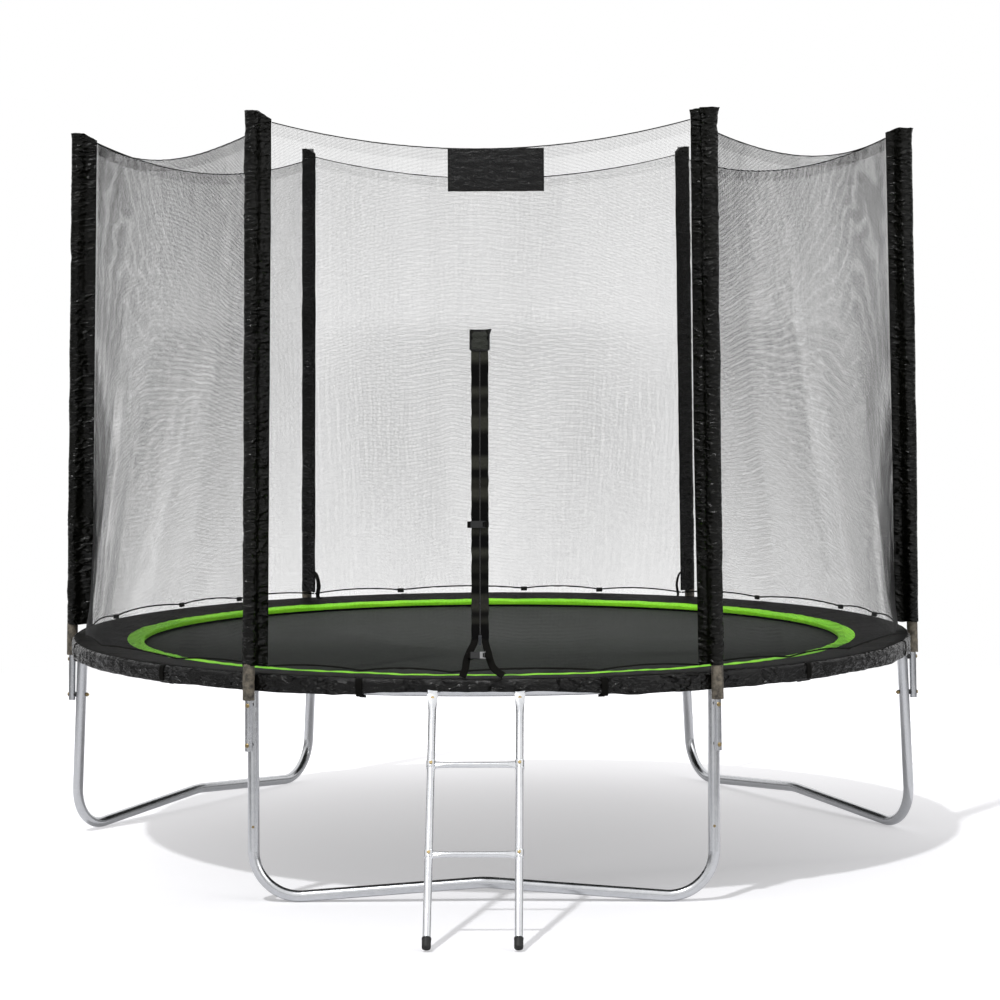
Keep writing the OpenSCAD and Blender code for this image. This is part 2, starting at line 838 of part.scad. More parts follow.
// Closed strip of cloth on panel j
module net_strip(j, rows, top, thick) {
    n = len(rows);
    wide = net_steps + 1;
    other = n * wide;
    rim = concat(
        [for (c = [0:net_steps]) c],
        [for (r = [1:n - 1]) r * wide + net_steps],
        [for (c = [1:net_steps]) (n - 1) * wide + net_steps - c],
        [for (r = [1:n - 2]) (n - 1 - r) * wide]
    );
    polyhedron(
        points = concat(
            strip_face(j, rows, top, thick / 2),
            strip_face(j, rows, top, -thick / 2)
        ),
        faces = concat(
            face_tris(n, 0, true),
            face_tris(n, other, false),
            rim_tris(rim, other)
        )
    );
}

// The six panels of netting
module net_panels() {
    third = (zip_head_z - zip_foot_z) / 3;
    rows = [
        [net_foot_z + foot_hem_h, 0],
        [zip_foot_z, 0],
        [zip_foot_z + third, 0],
        [zip_foot_z + 2 * third, 0],
        [zip_head_z, 0],
        [zip_head_z, 0.5],
        [zip_head_z, 1],
    ];
    color([0.25, 0.25, 0.25, 0.4])
        for (j = [0:5])
            net_strip(j, rows, top_hem_h, net_t);
}

// Webbing hems on the bottom and top edges of the panels
module net_hems() {
    foot_rows = [[net_foot_z, 0], [net_foot_z + foot_hem_h, 0]];
    color(cloth_black)
        for (j = [0:5]) {
            net_strip(j, foot_rows, 0, hem_t);
            net_top_strip(j);
        }
}

// Top hem of panel j
module net_top_strip(j) {
    face = function(drop, off) [
        for (c = [0:net_steps])
            let (
                s = strip_place(c),
                out = way(sixth * (j + 0.5))
            )
            net_point(j, s, net_edge(s) - drop) + off * [out.x, out.y, 0]
    ];
    wide = net_steps + 1;
    other = 2 * wide;
    rim = concat([for (c = [0:net_steps]) c], [for (c = [0:net_steps]) wide + net_steps - c]);
    polyhedron(
        points = concat(
            face(top_hem_h, hem_t / 2), face(0, hem_t / 2),
            face(top_hem_h, -hem_t / 2), face(0, -hem_t / 2)
        ),
        faces = concat(face_tris(2, 0, true), face_tris(2, other, false), rim_tris(rim, other))
    );
}

// Plain patch on the front of the net's top edge
module label_patch() {
    z = net_top_z - net_sag - label_h;
    head_r = mid_r(z + label_h);
    lean = atan((mid_r(z) - head_r) / label_h);
    color(cloth_black)
        translate([label_x - label_w / 2, -mid_r(z), z])
            rotate([-lean, 0, 0])
                translate([0, -hem_t / 2 - seat_fit - 1.2, 0])
                    cube([label_w, 1.2, label_h]);
}

// ---------- Mat and springs ----------

// Flat ring round the middle axis
module flat_ring(r_in, r_out, z, t) {
    translate([0, 0, z])
        difference() {
            cylinder(h = t, r = r_out, $fn = ring_fn);
            translate([0, 0, -eps])
                cylinder(h = t + 2 * eps, r = r_in, $fn = ring_fn);
        }
}

// Repeats the children at every spring
module at_springs() {
    for (s = [0:spring_count - 1])
        rotate([0, 0, (s + 0.5) * spring_step - sixth / 2])
            translate([0, 0, rail_z])
                children();
}

// Jumping mat
module mat() {
    color(mat_grey)
        translate([0, 0, rail_z - mat_t / 2])
            cylinder(h = mat_t, r = mat_r, $fn = ring_fn);
}

// Webbing sewn round the mat's edge, on its underside
module mat_edge() {
    color(cloth_black)
        flat_ring(mat_r - edge_w, mat_r, rail_z - mat_t / 2 - edge_t, edge_t);
}

// Folded webbing loop that holds one V-ring, with its tail sewn under the edge webbing
module mat_loop() {
    half_h = v_bar / 2 + seat_fit + loop_t;
    loop_in = mat_r + seat_fit;
    loop_out = v_foot + v_bar / 2 + seat_fit + loop_t;
    difference() {
        union() {
            translate([loop_in, -loop_w / 2, -half_h])
                cube([loop_out - loop_in, loop_w, 2 * half_h]);
            translate([mat_r - loop_tail, -loop_w / 2, -mat_t / 2 - edge_t - loop_t])
                cube([loop_tail + loop_t, loop_w, loop_t]);
        }
        translate([v_foot, 0, 0])
            cube([v_bar + 2 * seat_fit, loop_w + eps, v_bar + 2 * seat_fit], center = true);
    }
}

// The webbing loops
module mat_loops() {
    color(cloth_black)
        at_springs() mat_loop();
}

// One V-ring, wide at the mat and narrow at the spring
module v_ring() {
    half = v_bar / 2;
    color(steel)
        translate([0, 0, -half])
            linear_extrude(v_bar)
                difference() {
                    polygon([
                        [v_foot - half, -v_wide / 2], [v_top + half, -v_narrow / 2],
                        [v_top + half, v_narrow / 2], [v_foot - half, v_wide / 2],
                    ]);
                    polygon([
                        [v_foot + half, -v_wide / 2 + v_bar * 1.3],
                        [v_top - half, -v_narrow / 2 + v_bar],
                        [v_top - half, v_narrow / 2 - v_bar],
                        [v_foot + half, v_wide / 2 - v_bar * 1.3],
                    ]);
                }
}

// The V-rings
module v_rings() {
    at_springs() v_ring();
}

// One spring: its coil as a tube, a hooked tip in the ring and an eye on the V-ring
module spring() {
    difference() {
        wall_pin(spring_d / 2, coil_in_r, coil_out_r);
        wall_pin(spring_d / 2 - spring_wire, coil_in_r + spring_wire, coil_out_r - spring_wire);
    }
    wall_pin(wire_r, coil_out_r - eps, tip_r + wire_r);
    translate([tip_r, 0, 0])
        cylinder(h = spring_tip, r = wire_r - bend_thin, $fn = 24);
    wall_pin(wire_r - bend_thin, eye_c + eye_r, coil_in_r + eps);
    translate([eye_c, 0, 0])
        rotate([90, 0, 0])
            rotate_extrude($fn = 36)
                translate([eye_r, 0])
                    circle(r = wire_r, $fn = 24);
}

// The springs
module springs() {
    color(steel)
        at_springs() spring();
}

// ---------- Spring pad ----------

// Space that the ladder's hooks sweep under the pad as the ladder swings out
module hook_room() {
    for (x = [ladder_left, ladder_right])
        translate([x - hook_w / 2 - 2, hinge_y, rail_z])
            rotate([0, 90, 0])
                cylinder(h = hook_w + 4, r = hook_r + hook_sweep);
}

// Padded ring over the springs, with a thin skirt outside the ring tube
module spring_pad() {
    skirt_in = pad_out_r - skirt_t;
    color(cloth_black)
        difference() {
            rotate_extrude($fn = ring_fn)
                polygon([
                    [pad_in_r, pad_inner_foot],
                    [pad_flat_r - rail_d, rail_top + seat_fit],
                    [skirt_in, rail_top + seat_fit],
                    [skirt_in, rail_z - skirt_drop],
                    [pad_out_r, rail_z - skirt_drop],
                    [pad_out_r, pad_top - pad_t / 3],
                    [ring_r + rail_r / 2, pad_top],
                    [pad_flat_r, pad_top],
                    [pad_in_r, pad_inner_top],
                ]);
            translate([-lift_w / 2, -2 * ring_r, rail_z - 2 * skirt_drop])
                cube([lift_w, 2 * ring_r, 2 * skirt_drop + skirt_lift]);
            for (i = [0:5])
                rotate([0, 0, sixth * i])
                    translate([ring_r, -slot_w / 2, rail_z - 2 * skirt_drop])
                        cube([rail_d, slot_w, 2 * skirt_drop]);
            hook_room();
        }
}

// Coloured band on the pad's inner edge
module pad_band() {
    rise = band_w * pad_slope;
    color([0.47, 0.76, 0.2])
        rotate_extrude($fn = ring_fn)
            polygon([
                [pad_in_r, pad_inner_top],
                [pad_in_r + band_w, pad_inner_top + rise],
                [pad_in_r + band_w, pad_inner_top + rise + band_t],
                [pad_in_r, pad_inner_top + band_t],
            ]);
}

// Strap that runs down outside the skirt and hooks under the ring
module pad_tie() {
    foot = rail_z - max(skirt_drop, rail_r) - seat_fit;
    head = pad_top - pad_t / 2;
    translate([tie_r, -tie_w / 2, foot - tie_t])
        cube([tie_t, tie_w, head - foot + tie_t]);
    translate([ring_r - tie_w / 4, -tie_w / 2, foot - tie_t])
        cube([tie_r - ring_r + tie_w / 4 + tie_t, tie_w, tie_t]);
    translate([ring_r - tie_w / 4, -tie_w / 2, foot - tie_t])
        cube([tie_w / 2, tie_w, rail_z - rail_r - seat_fit - foot + tie_t]);
}

// The twelve ties
module pad_ties() {
    color(cloth_black)
        for (k = [0:11])
            rotate([0, 0, tie_turn + 30 * k])
                pad_tie();
}

// ---------- Entrance ----------

// Zip strip with its coil
module zip_tape() {
    color(cloth_black)
        at_zip() {
            translate([-zip_w / 2, -zip_face, 0])
                cube([zip_w, zip_t, zip_len]);
            translate([-coil_w / 2, -coil_face, 0])
                cube([coil_w, coil_t + zip_t / 2, zip_len]);
        }
}

// Slider that straddles the coil, with a pin for its pull
module zip_slider() {
    ear = 1.2;
    cheek = pull_axis + pull_eye_r;
    color("dimgray")
        at_zip() {
            difference() {
                translate([-slider_w / 2, -slider_face, 0])
                    cube([slider_w, slider_face - zip_face - seat_fit, slider_l]);
                translate([-coil_w / 2 - seat_fit, -coil_face - seat_fit, -eps])
                    cube([coil_w + 2 * seat_fit, coil_t + 2, slider_l + 2 * eps]);
            }
            for (side = [-1, 1])
                translate([side * (slider_w / 2 - ear / 2) - ear / 2, -cheek, slider_l * 0.55])
                    cube([ear, cheek - slider_face + 0.5, 2 * pull_eye_r]);
            translate([-slider_w / 2, -pull_axis, slider_l * 0.55 + pull_eye_r])
                rotate([0, 90, 0])
                    cylinder(h = slider_w, r = pull_pin_r, $fn = 24);
        }
}

// Pull that hangs on the slider's pin
module zip_pull() {
    pin_z = slider_l * 0.55 + pull_eye_r;
    color("dimgray")
        at_zip()
            translate([0, -pull_axis, pin_z])
                difference() {
                    union() {
                        translate([-pull_w / 2, 0, 0])
                            rotate([0, 90, 0])
                                cylinder(h = pull_w, r = pull_t / 2, $fn = 32);
                        translate([-pull_w / 2, -pull_t / 2, -pull_l])
                            cube([pull_w, pull_t / 2, pull_l]);
                    }
                    translate([-pull_w / 2 - eps, 0, 0])
                        rotate([0, 90, 0])
                            cylinder(h = pull_w + 2 * eps, r = pull_eye_r, $fn = 32);
                }
}

// Strap that carries a buckle socket in front of the strip
module buckle_strap() {
    strap_t = 1.5;
    strap_w = socket_h - 2;
    left = -socket_l - 10;
    front = -buckle_standoff - socket_t / 2;
    translate([left, front, -strap_w / 2])
        cube([-socket_l - left, strap_t, strap_w]);
    translate([left, front, -strap_w / 2])
        cube([strap_t, -front - seat_fit, strap_w]);
    translate([left, -strap_t - seat_fit, -strap_w / 2])
        cube([16, strap_t, strap_w]);
}

// Patch on the head of the strip, with a groove for the coil
module head_patch() {
    patch_t = 2.2;
    difference() {
        translate([-patch_w / 2, -zip_face - patch_t, zip_len - patch_h])
            cube([patch_w, patch_t, patch_h]);
        translate([-coil_w, -coil_face - seat_fit, zip_len - patch_h - eps])
            cube([2 * coil_w, coil_face, patch_h + 2 * eps]);
    }
}

// Strap from the foot of the zip to the net's bottom edge, on one side
module foot_strap(side) {
    translate([side * leg_strap_w * 0.75, 0, -leg_strap_w / 4])
        rotate([0, -side * leg_strap_spread, 0])
            translate([-leg_strap_w / 2, -strap_face, -leg_strap_l])
                cube([leg_strap_w, leg_strap_t, leg_strap_l]);
}

// Straps of the entrance: buckle straps, the patch at the head and the two foot straps
module entrance_webbing() {
    color(cloth_black) {
        at_zip() head_patch();
        for (z = [buckle_low_z, buckle_high_z])
            at_strip(z) buckle_strap();
        at_apron() {
            foot_strap(-1);
            foot_strap(1);
        }
    }
}

// Buckle socket, open towards +X
module buckle_socket() {
    difference() {
        translate([-socket_l, -socket_t / 2, -socket_h / 2])
            cube([socket_l, socket_t, socket_h]);
        translate([-tongue_l - 1, -socket_t / 2 + socket_wall, -socket_h / 2 + socket_wall])
            cube([socket_l, socket_t - 2 * socket_wall, socket_h - 2 * socket_wall]);
    }
}

// The two buckle sockets
module buckle_sockets() {
    color(cloth_black)
        for (z = [buckle_low_z, buckle_high_z])
            at_strip(z)
                translate([0, -buckle_standoff, 0])
                    buckle_socket();
}

// Buckle plug: a tongue in the socket and a bar for its strap
module buckle_plug(z) {
    gap = socket_wall + seat_fit;
    color(cloth_black)
        at_strip(z)
            translate([0, -buckle_standoff, 0])
                difference() {
                    union() {
                        translate([-tongue_l, -socket_t / 2 + gap, -socket_h / 2 + gap])
                            cube([tongue_l + plug_l / 2, socket_t - 2 * gap, socket_h - 2 * gap]);
                        translate([seat_fit, -socket_t / 2, -socket_h / 2])
                            cube([plug_l, socket_t, socket_h]);
                    }
                    translate([plug_l / 2, -socket_t, -socket_h / 2 + 3])
                        cube([plug_l / 4, 2 * socket_t, socket_h - 6]);
                }
}

// ---------- Ladder ----------

// One side of the ladder: tube with a flattened, drilled head
module ladder_rail(x) {
    tube_top = ladder_top + flat_l;
    color(steel)
        at_ladder()
            translate([x, -ladder_out, 0])
                difference() {
                    union() {
                        translate([0, 0, foot_base + seat_fit - ladder_len])
                            cylinder(h = ladder_len - foot_base - seat_fit - tube_top, r = ladder_r);
                        translate([-hook_w / 2, -flat_t / 2, -tube_top - ladder_r / 2])
                            cube([hook_w, flat_t, flat_l + ladder_r / 2]);
                    }
                    translate([0, 0, -ladder_len])
                        cylinder(h = ladder_len - tube_top - ladder_r / 2 - 2, r = ladder_r - ladder_wall);
                    rotate([90, 0, 0]) {
                        for (z = [hook_bolt_z, rung_high, rung_low])
                            translate([0, -z, -ladder_d])
                                cylinder(h = 2 * ladder_d, r = ladder_bolt_r + bolt_fit, $fn = 24);
                    }
                }
}

// Rung with a collar round each side of the ladder
module ladder_rung(down) {
    collar_bore = ladder_r + seat_fit;
    collar_r = collar_bore + collar_wall;
    color(steel)
        at_ladder()
            translate([0, -ladder_out, -down])
                difference() {
                    union() {
                        translate([ladder_left, 0, 0])
                            rotate([0, 90, 0])
                                cylinder(h = ladder_w, r = rung_d / 2);
                        for (x = [ladder_left, ladder_right])
                            translate([x, 0, -collar_h / 2])
                                cylinder(h = collar_h, r = collar_r);
                    }
                    translate([ladder_left + collar_r, 0, 0])
                        rotate([0, 90, 0])
                            cylinder(h = ladder_w - 2 * collar_r, r = rung_d / 2 - ladder_wall);
                    for (x = [ladder_left, ladder_right])
                        translate([x, 0, 0]) {
                            translate([0, 0, -collar_h])
                                cylinder(h = 2 * collar_h, r = collar_bore);
                            rotate([90, 0, 0])
                                translate([0, 0, -ladder_d])
                                    cylinder(h = 2 * ladder_d, r = ladder_bolt_r + bolt_fit, $fn = 24);
                        }
                }
}

// Strap hook that goes over the ring tube and is bolted to a ladder side
module ladder_hook(x) {
    translate([x - hook_w / 2, 0, 0])
        rotate([90, 0, 90])
            linear_extrude(hook_w)
                difference() {
                    union() {
                        circle(r = hook_r, $fn = 96);
                        translate([-hook_r, -hook_plate])
                            square([hook_r, hook_plate]);
                    }
                    circle(r = hook_bore, $fn = 96);
                    translate([-hook_bore, -hook_plate - eps])
                        square([hook_bore + hook_r + eps, hook_plate + eps]);
                    rotate([0, 0, 180 - hook_wrap])
                        translate([0, -hook_r])
                            square([2 * hook_r, hook_r]);
                }
}

// The two hooks, drilled for their bolts
module ladder_hooks() {
    color(steel)
        at_ladder()
            for (x = [ladder_left, ladder_right])
                difference() {
                    ladder_hook(x);
                    translate([x, -hook_bore + eps, -hook_bolt_z])
                        rotate([90, 0, 0])
                            cylinder(h = hook_t + 2 * eps, r = ladder_bolt_r + bolt_fit, $fn = 24);
                }
}

// Rubber cups on the ladder's lower ends
module ladder_feet() {
    color(cloth_black)
        at_ladder()
            for (x = [ladder_left, ladder_right])
                translate([x, -ladder_out, -ladder_len])
                    difference() {
                        cylinder(h = foot_l, r = foot_r);
                        translate([0, 0, foot_base])
                            cylinder(h = foot_l, r = ladder_r + seat_fit);
                    }
}

// Bolt and nut through span, with its head towards -Y
module ladder_bolt(front, back) {
    nut_h = ladder_bolt_d * 0.8;
    rotate([90, 0, 0]) {
        translate([0, 0, -back - nut_h - 2])
            cylinder(h = front + back + nut_h + 3, r = ladder_bolt_r, $fn = 24);
        translate([0, 0, front + 0.05])
            cylinder(h = 3, r = ladder_bolt_d * 0.9, $fn = 32);
        translate([0, 0, -back - nut_h - 0.05])
            difference() {
                cylinder(h = nut_h, r = ladder_bolt_d * 0.95, $fn = 6);
                translate([0, 0, -eps])
                    cylinder(h = nut_h + 2 * eps, r = ladder_bolt_r + 0.05, $fn = 24);
            }
    }
}

// Bolts and nuts of the hooks and the rungs
module ladder_bolts() {
    collar_r = ladder_r + seat_fit + collar_wall;
    color(zinc_yellow)
        at_ladder()
            for (x = [ladder_left, ladder_right])
                translate([x, -ladder_out, 0]) {
                    translate([0, 0, -hook_bolt_z])
                        ladder_bolt(flat_t / 2 + seat_fit + hook_t, flat_t / 2);
                    for (z = [rung_high, rung_low])
                        translate([0, 0, -z])
                            ladder_bolt(collar_r, collar_r);
                }
}

rail(0);  // rail_1
rail(1);  // rail_2
rail(2);  // rail_3
rail(3);  // rail_4
rail(4);  // rail_5
rail(5);  // rail_6
leg_post(0);  // leg_post_1
leg_post(1);  // leg_post_2
leg_post(2);  // leg_post_3
leg_post(3);  // leg_post_4
leg_post(4);  // leg_post_5
leg_post(5);  // leg_post_6
leg_base(270);  // leg_base_front
leg_base(30);  // leg_base_right
leg_base(150);  // leg_base_left
leg_screws();
pole_lower(0);  // pole_lower_1
pole_lower(1);  // pole_lower_2
pole_lower(2);  // pole_lower_3
pole_lower(3);  // pole_lower_4
pole_lower(4);  // pole_lower_5
pole_lower(5);  // pole_lower_6
pole_upper(0);  // pole_upper_1
pole_upper(1);  // pole_upper_2
pole_upper(2);  // pole_upper_3
pole_upper(3);  // pole_upper_4
pole_upper(4);  // pole_upper_5
pole_upper(5);  // pole_upper_6
pole_spacers();
pole_bolts();
pole_caps();
pole_foams();
pole_sleeves();
net_panels();
net_hems();
label_patch();
mat();
mat_edge();
mat_loops();
v_rings();
springs();
spring_pad();
pad_band();
pad_ties();
zip_tape();
zip_slider();
zip_pull();
entrance_webbing();
buckle_sockets();
buckle_plug(buckle_high_z);  // buckle_plug_upper
buckle_plug(buckle_low_z);  // buckle_plug_lower
ladder_rail(ladder_left);  // ladder_rail_left
ladder_rail(ladder_right);  // ladder_rail_right
ladder_rung(rung_high);  // ladder_rung_upper
ladder_rung(rung_low);  // ladder_rung_lower
ladder_hooks();
ladder_feet();
ladder_bolts();
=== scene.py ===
# %% [markdown]
# A garden trampoline with a safety net: twelve tubes, one mat, one padded ring and six walls of netting.
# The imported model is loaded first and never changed. Everything below either gives one of its nodes a
# finish, or replaces a plain stand-in with a modelled piece that rides on the same body.

import json
import math

import bmesh
import bpy
from mathutils import Matrix, Vector, noise

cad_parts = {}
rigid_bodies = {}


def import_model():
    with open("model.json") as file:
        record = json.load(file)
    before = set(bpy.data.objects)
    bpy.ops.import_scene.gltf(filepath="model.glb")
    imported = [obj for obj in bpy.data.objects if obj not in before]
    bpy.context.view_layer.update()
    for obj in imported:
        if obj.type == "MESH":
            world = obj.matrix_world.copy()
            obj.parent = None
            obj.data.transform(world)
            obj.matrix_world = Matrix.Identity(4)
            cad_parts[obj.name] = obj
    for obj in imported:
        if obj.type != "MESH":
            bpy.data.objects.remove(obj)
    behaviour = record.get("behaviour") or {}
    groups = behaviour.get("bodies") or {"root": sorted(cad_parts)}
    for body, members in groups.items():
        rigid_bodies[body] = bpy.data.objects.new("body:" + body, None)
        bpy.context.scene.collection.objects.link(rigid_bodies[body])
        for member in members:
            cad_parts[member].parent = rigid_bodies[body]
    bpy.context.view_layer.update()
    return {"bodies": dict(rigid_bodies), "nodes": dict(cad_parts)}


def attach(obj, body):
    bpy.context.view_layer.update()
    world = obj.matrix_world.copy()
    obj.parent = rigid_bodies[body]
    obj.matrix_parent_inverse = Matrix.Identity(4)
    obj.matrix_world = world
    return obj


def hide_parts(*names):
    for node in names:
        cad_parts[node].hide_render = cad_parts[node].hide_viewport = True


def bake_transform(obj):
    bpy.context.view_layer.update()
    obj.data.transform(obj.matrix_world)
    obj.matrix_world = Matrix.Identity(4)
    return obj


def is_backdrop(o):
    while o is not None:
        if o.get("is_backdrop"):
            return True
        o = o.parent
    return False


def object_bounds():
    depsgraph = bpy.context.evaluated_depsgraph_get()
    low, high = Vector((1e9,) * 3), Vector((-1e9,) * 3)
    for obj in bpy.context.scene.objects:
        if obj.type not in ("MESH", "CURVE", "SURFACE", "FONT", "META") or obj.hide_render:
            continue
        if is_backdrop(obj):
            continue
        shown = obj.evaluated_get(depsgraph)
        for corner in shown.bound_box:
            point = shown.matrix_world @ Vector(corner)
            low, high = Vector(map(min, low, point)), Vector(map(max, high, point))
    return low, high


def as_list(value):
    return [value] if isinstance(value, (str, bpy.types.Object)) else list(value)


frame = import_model()
print("bodies:", ", ".join(frame["bodies"]))

# %% [markdown]
# The camera stands eleven and a half metres away at eye height, with a long lens, as for a catalogue,
# so that the near and the far poles look nearly the same length.
# A long lens needs an exact place: the rotation is built from a turn, a tilt and a small roll.

# %% Camera
CAMERA_PLACE = Vector((0.2479, -11.5858, 1.9579))
CAMERA_TURN = 0.0184
CAMERA_TILT = -0.0627
CAMERA_ROLL = -0.0054
CAMERA_LENS = 113.9


def make_camera():
    """Makes the scene's camera at its fixed place."""
    data = bpy.data.cameras.new("camera")
    data.lens = CAMERA_LENS
    camera = bpy.data.objects.new("camera", data)
    bpy.context.scene.collection.objects.link(camera)
    turn = Matrix.Rotation(CAMERA_TURN, 4, "Z")
    tilt = Matrix.Rotation(math.pi / 2 + CAMERA_TILT, 4, "X")
    roll = Matrix.Rotation(CAMERA_ROLL, 4, "Z")
    camera.matrix_world = Matrix.Translation(CAMERA_PLACE) @ turn @ tilt @ roll
    bpy.context.scene.camera = camera
    return camera


make_camera()

# %% [markdown]
# A material is a small sum: a weave is a wave plus a wave, dirt is noise times a mask. Wiring such sums
# by hand hides them, so a socket is wrapped in a class whose operators add the Math nodes.
# The sum can then be read in the script the way it is meant.

# %% Sockets with arithmetic
class Wire:
    """A value on its way through a material, which can be added, multiplied and compared."""

    def __init__(self, paint, socket):
        self.paint = paint
        self.socket = socket

    def math(self, operation, *others):
        return self.paint.node("Math", {"operation": operation}, dict(enumerate((self, *others))))

    def __rsub__(self, other):
        return self.paint.node("Math", {"operation": "SUBTRACT"}, {0: other, 1: self})

    def either(self, other):
        """The larger of two values."""
        return self.math("MAXIMUM", other)

    def clipped(self):
        """The value kept from 0 to 1."""
        return self.math("MAXIMUM", 0.0).math("MINIMUM", 1.0)

    def part(self, axis):
        """One axis of a vector: 0, 1 or 2."""
        return self.paint.node("SeparateXYZ", {}, {"Vector": self}, axis)


OPERATORS = {
    "add": "ADD", "radd": "ADD", "sub": "SUBTRACT", "mul": "MULTIPLY", "rmul": "MULTIPLY",
    "truediv": "DIVIDE", "lt": "LESS_THAN", "gt": "GREATER_THAN", "pow": "POWER",
}
for sign, operation in OPERATORS.items():
    setattr(Wire, f"__{sign}__", lambda one, other, operation=operation: one.math(operation, other))


# %% Materials as short sums
class Paint:
    """A material under construction. Its node method makes every node."""

    def __init__(self, name, kind="materials"):
        self.material = getattr(bpy.data, kind).new(name)
        self.material.use_nodes = True
        self.tree = self.material.node_tree
        self.tree.nodes.clear()

    def node(self, kind, settings=None, inputs=None, out=0):
        """A node of a kind, its settings made first, then its inputs, and one of its outputs."""
        made = self.tree.nodes.new("ShaderNode" + kind)
        for key, value in (settings or {}).items():
            if key == "stops":
                self.set_stops(made.color_ramp, value)
            else:
                setattr(made, key, value)
        for key, value in (inputs or {}).items():
            self.join(made.inputs[key], value)
        return Wire(self, made.outputs[out]) if made.outputs else None

    def join(self, socket, value):
        if isinstance(value, Wire):
            self.tree.links.new(value.socket, socket)
        else:
            socket.default_value = value

    @staticmethod
    def set_stops(ramp, stops):
        for place, value in stops[1:-1]:
            ramp.elements.new(place)
        for element, (place, value) in zip(ramp.elements, stops):
            element.position = place
            element.color = (value, value, value, 1)

    def place(self):
        """The place on the object, in metres."""
        return self.node("TexCoord", {}, {}, "Object")

    def cloth_place(self):
        """The place on the cloth before it was hung, in metres."""
        return self.node("UVMap", {"uv_map": CLOTH_MAP}, {})

    def scaled(self, vector, x, y, z):
        return self.node("VectorMath", {"operation": "MULTIPLY"}, {0: vector, 1: (x, y, z)})

    def rough(self, vector, size, detail=2.0, spread=0.55):
        """Cloudy noise from 0 to 1, whose blotches are about size metres across."""
        inputs = {"Vector": vector, "Scale": 1 / size, "Detail": detail, "Roughness": spread}
        return self.node("TexNoise", {}, inputs)

    def ramp(self, value, *stops):
        """A value read along a ramp of (place, value) stops."""
        return self.node("ValToRGB", {"stops": stops}, {0: value})

    def mixed(self, share, first, second):
        """A colour between two colours."""
        inputs = {0: share, 6: first, 7: second}
        return self.node("Mix", {"data_type": "RGBA"}, inputs, 2)

    def bump(self, height, metres):
        """A normal for a surface that rises by metres where height is 1."""
        return self.node("Bump", {}, {"Height": height, "Distance": metres, "Strength": 1.0})

    def surface(self, **inputs):
        """The finish itself: one Principled shader, with underscores standing for spaces."""
        named = {key.replace("_", " "): value for key, value in inputs.items()}
        shader = self.node("BsdfPrincipled", {}, named)
        self.node("OutputMaterial", {}, {"Surface": shader})
        return self.material

    def skin(self, share, dark, light, rough, height, metres, shine=0.5, metal=0.0):
        """The usual finish: two colours mixed by a share, a roughness, and a relief of some metres."""
        tones = self.mixed(share, colour(*dark), colour(*light))
        relief = self.bump(height, metres)
        return self.surface(
            Base_Color=tones, Roughness=rough, Normal=relief, Specular_IOR_Level=shine, Metallic=metal,
        )


CLOTH_MAP = "cloth"


def colour(red, green, blue):
    """A colour given in the usual 0 to 255 steps, as the linear colour that shaders use."""
    def linear(step):
        share = step / 255
        return share / 12.92 if share < 0.04045 else ((share + 0.055) / 1.055) ** 2.4
    return (linear(red), linear(green), linear(blue), 1)


# %% [markdown]
# Galvanised tube has a dull silver skin: the zinc freezes in faint blotches a centimetre across, drawn
# out along the tube by the rollers, and handling leaves slightly rougher bands. It is a metal all over,
# so the colour hardly changes and the roughness does the work.

# %% Steel finishes
def galvanised(name, tone, gloss):
    """Zinc-coated steel of a grey tone, rougher where gloss is higher."""
    p = Paint(name)
    spangle = p.node("TexVoronoi", {}, {"Vector": p.place(), "Scale": 90.0}, "Color").part(0)
    cloud = p.rough(p.place(), 0.11, 3.0)
    streak = p.rough(p.scaled(p.place(), 1, 1, 0.12), 0.006, 2.0)
    dull = (tone - 14, tone - 12, tone - 8)
    bright = (tone + 10, tone + 11, tone + 13)
    shade = (spangle * 0.2 + cloud * 0.8).clipped()
    rough = gloss + cloud * 0.08 + spangle * 0.03
    return p.skin(shade, dull, bright, rough, streak + spangle * 0.2, 0.00002, metal=1.0)


def yellow_zinc():
    """Bolts and screws: zinc with a yellow chromate skin, brassy with a pink and green cast."""
    p = Paint("yellow_zinc")
    cast = p.rough(p.place(), 0.006, 2.0)
    wear = p.rough(p.place(), 0.0015, 1.0)
    rough = 0.24 + cast * 0.12 + wear * 0.10
    return p.skin(cast, (122, 104, 68), (168, 150, 112), rough, wear, 0.0001, metal=1.0)


TUBE = galvanised("galvanised_tube", 206, 0.18)
POLE = galvanised("galvanised_pole", 190, 0.20)
LADDER = galvanised("galvanised_ladder", 222, 0.16)
WIRE = galvanised("galvanised_wire", 200, 0.20)
LACQUER = galvanised("black_lacquer", 70, 0.26)
BRASSY = yellow_zinc()


# %% [markdown]
# The black parts are all different blacks. Moulded plastic is a little glossy with a fine grain, rubber
# is dull and greyer at its rims, and foam is not black at all: its skin is brown grey and mottled by
# open cells. Keeping them apart is what makes an all-black assembly readable.

# %% Plastic, rubber and foam
def moulded(name, tone, gloss):
    """Moulded black plastic with a fine spark-eroded grain."""
    p = Paint(name)
    grain = p.rough(p.place(), 0.0009, 2.0)
    cloud = p.rough(p.place(), 0.02, 2.0)
    dark, light = (tone, tone, tone + 1), (tone + 12,) * 3
    return p.skin(cloud, dark, light, gloss + cloud * 0.12, grain, 0.00012, shine=0.35)


def foam_skin():
    """Closed-cell foam tube: grey brown, mottled, with small pits."""
    p = Paint("foam_skin")
    pits = p.node("TexVoronoi", {"feature": "DISTANCE_TO_EDGE"}, {"Vector": p.place(), "Scale": 320.0})
    cloud = p.rough(p.place(), 0.016, 4.0)
    patch = p.ramp(cloud, (0.32, 0.0), (0.68, 1.0))
    return p.skin(patch, (46, 42, 36), (118, 110, 96), 0.78 - cloud * 0.2, pits * 2.0 + cloud, 0.0006)


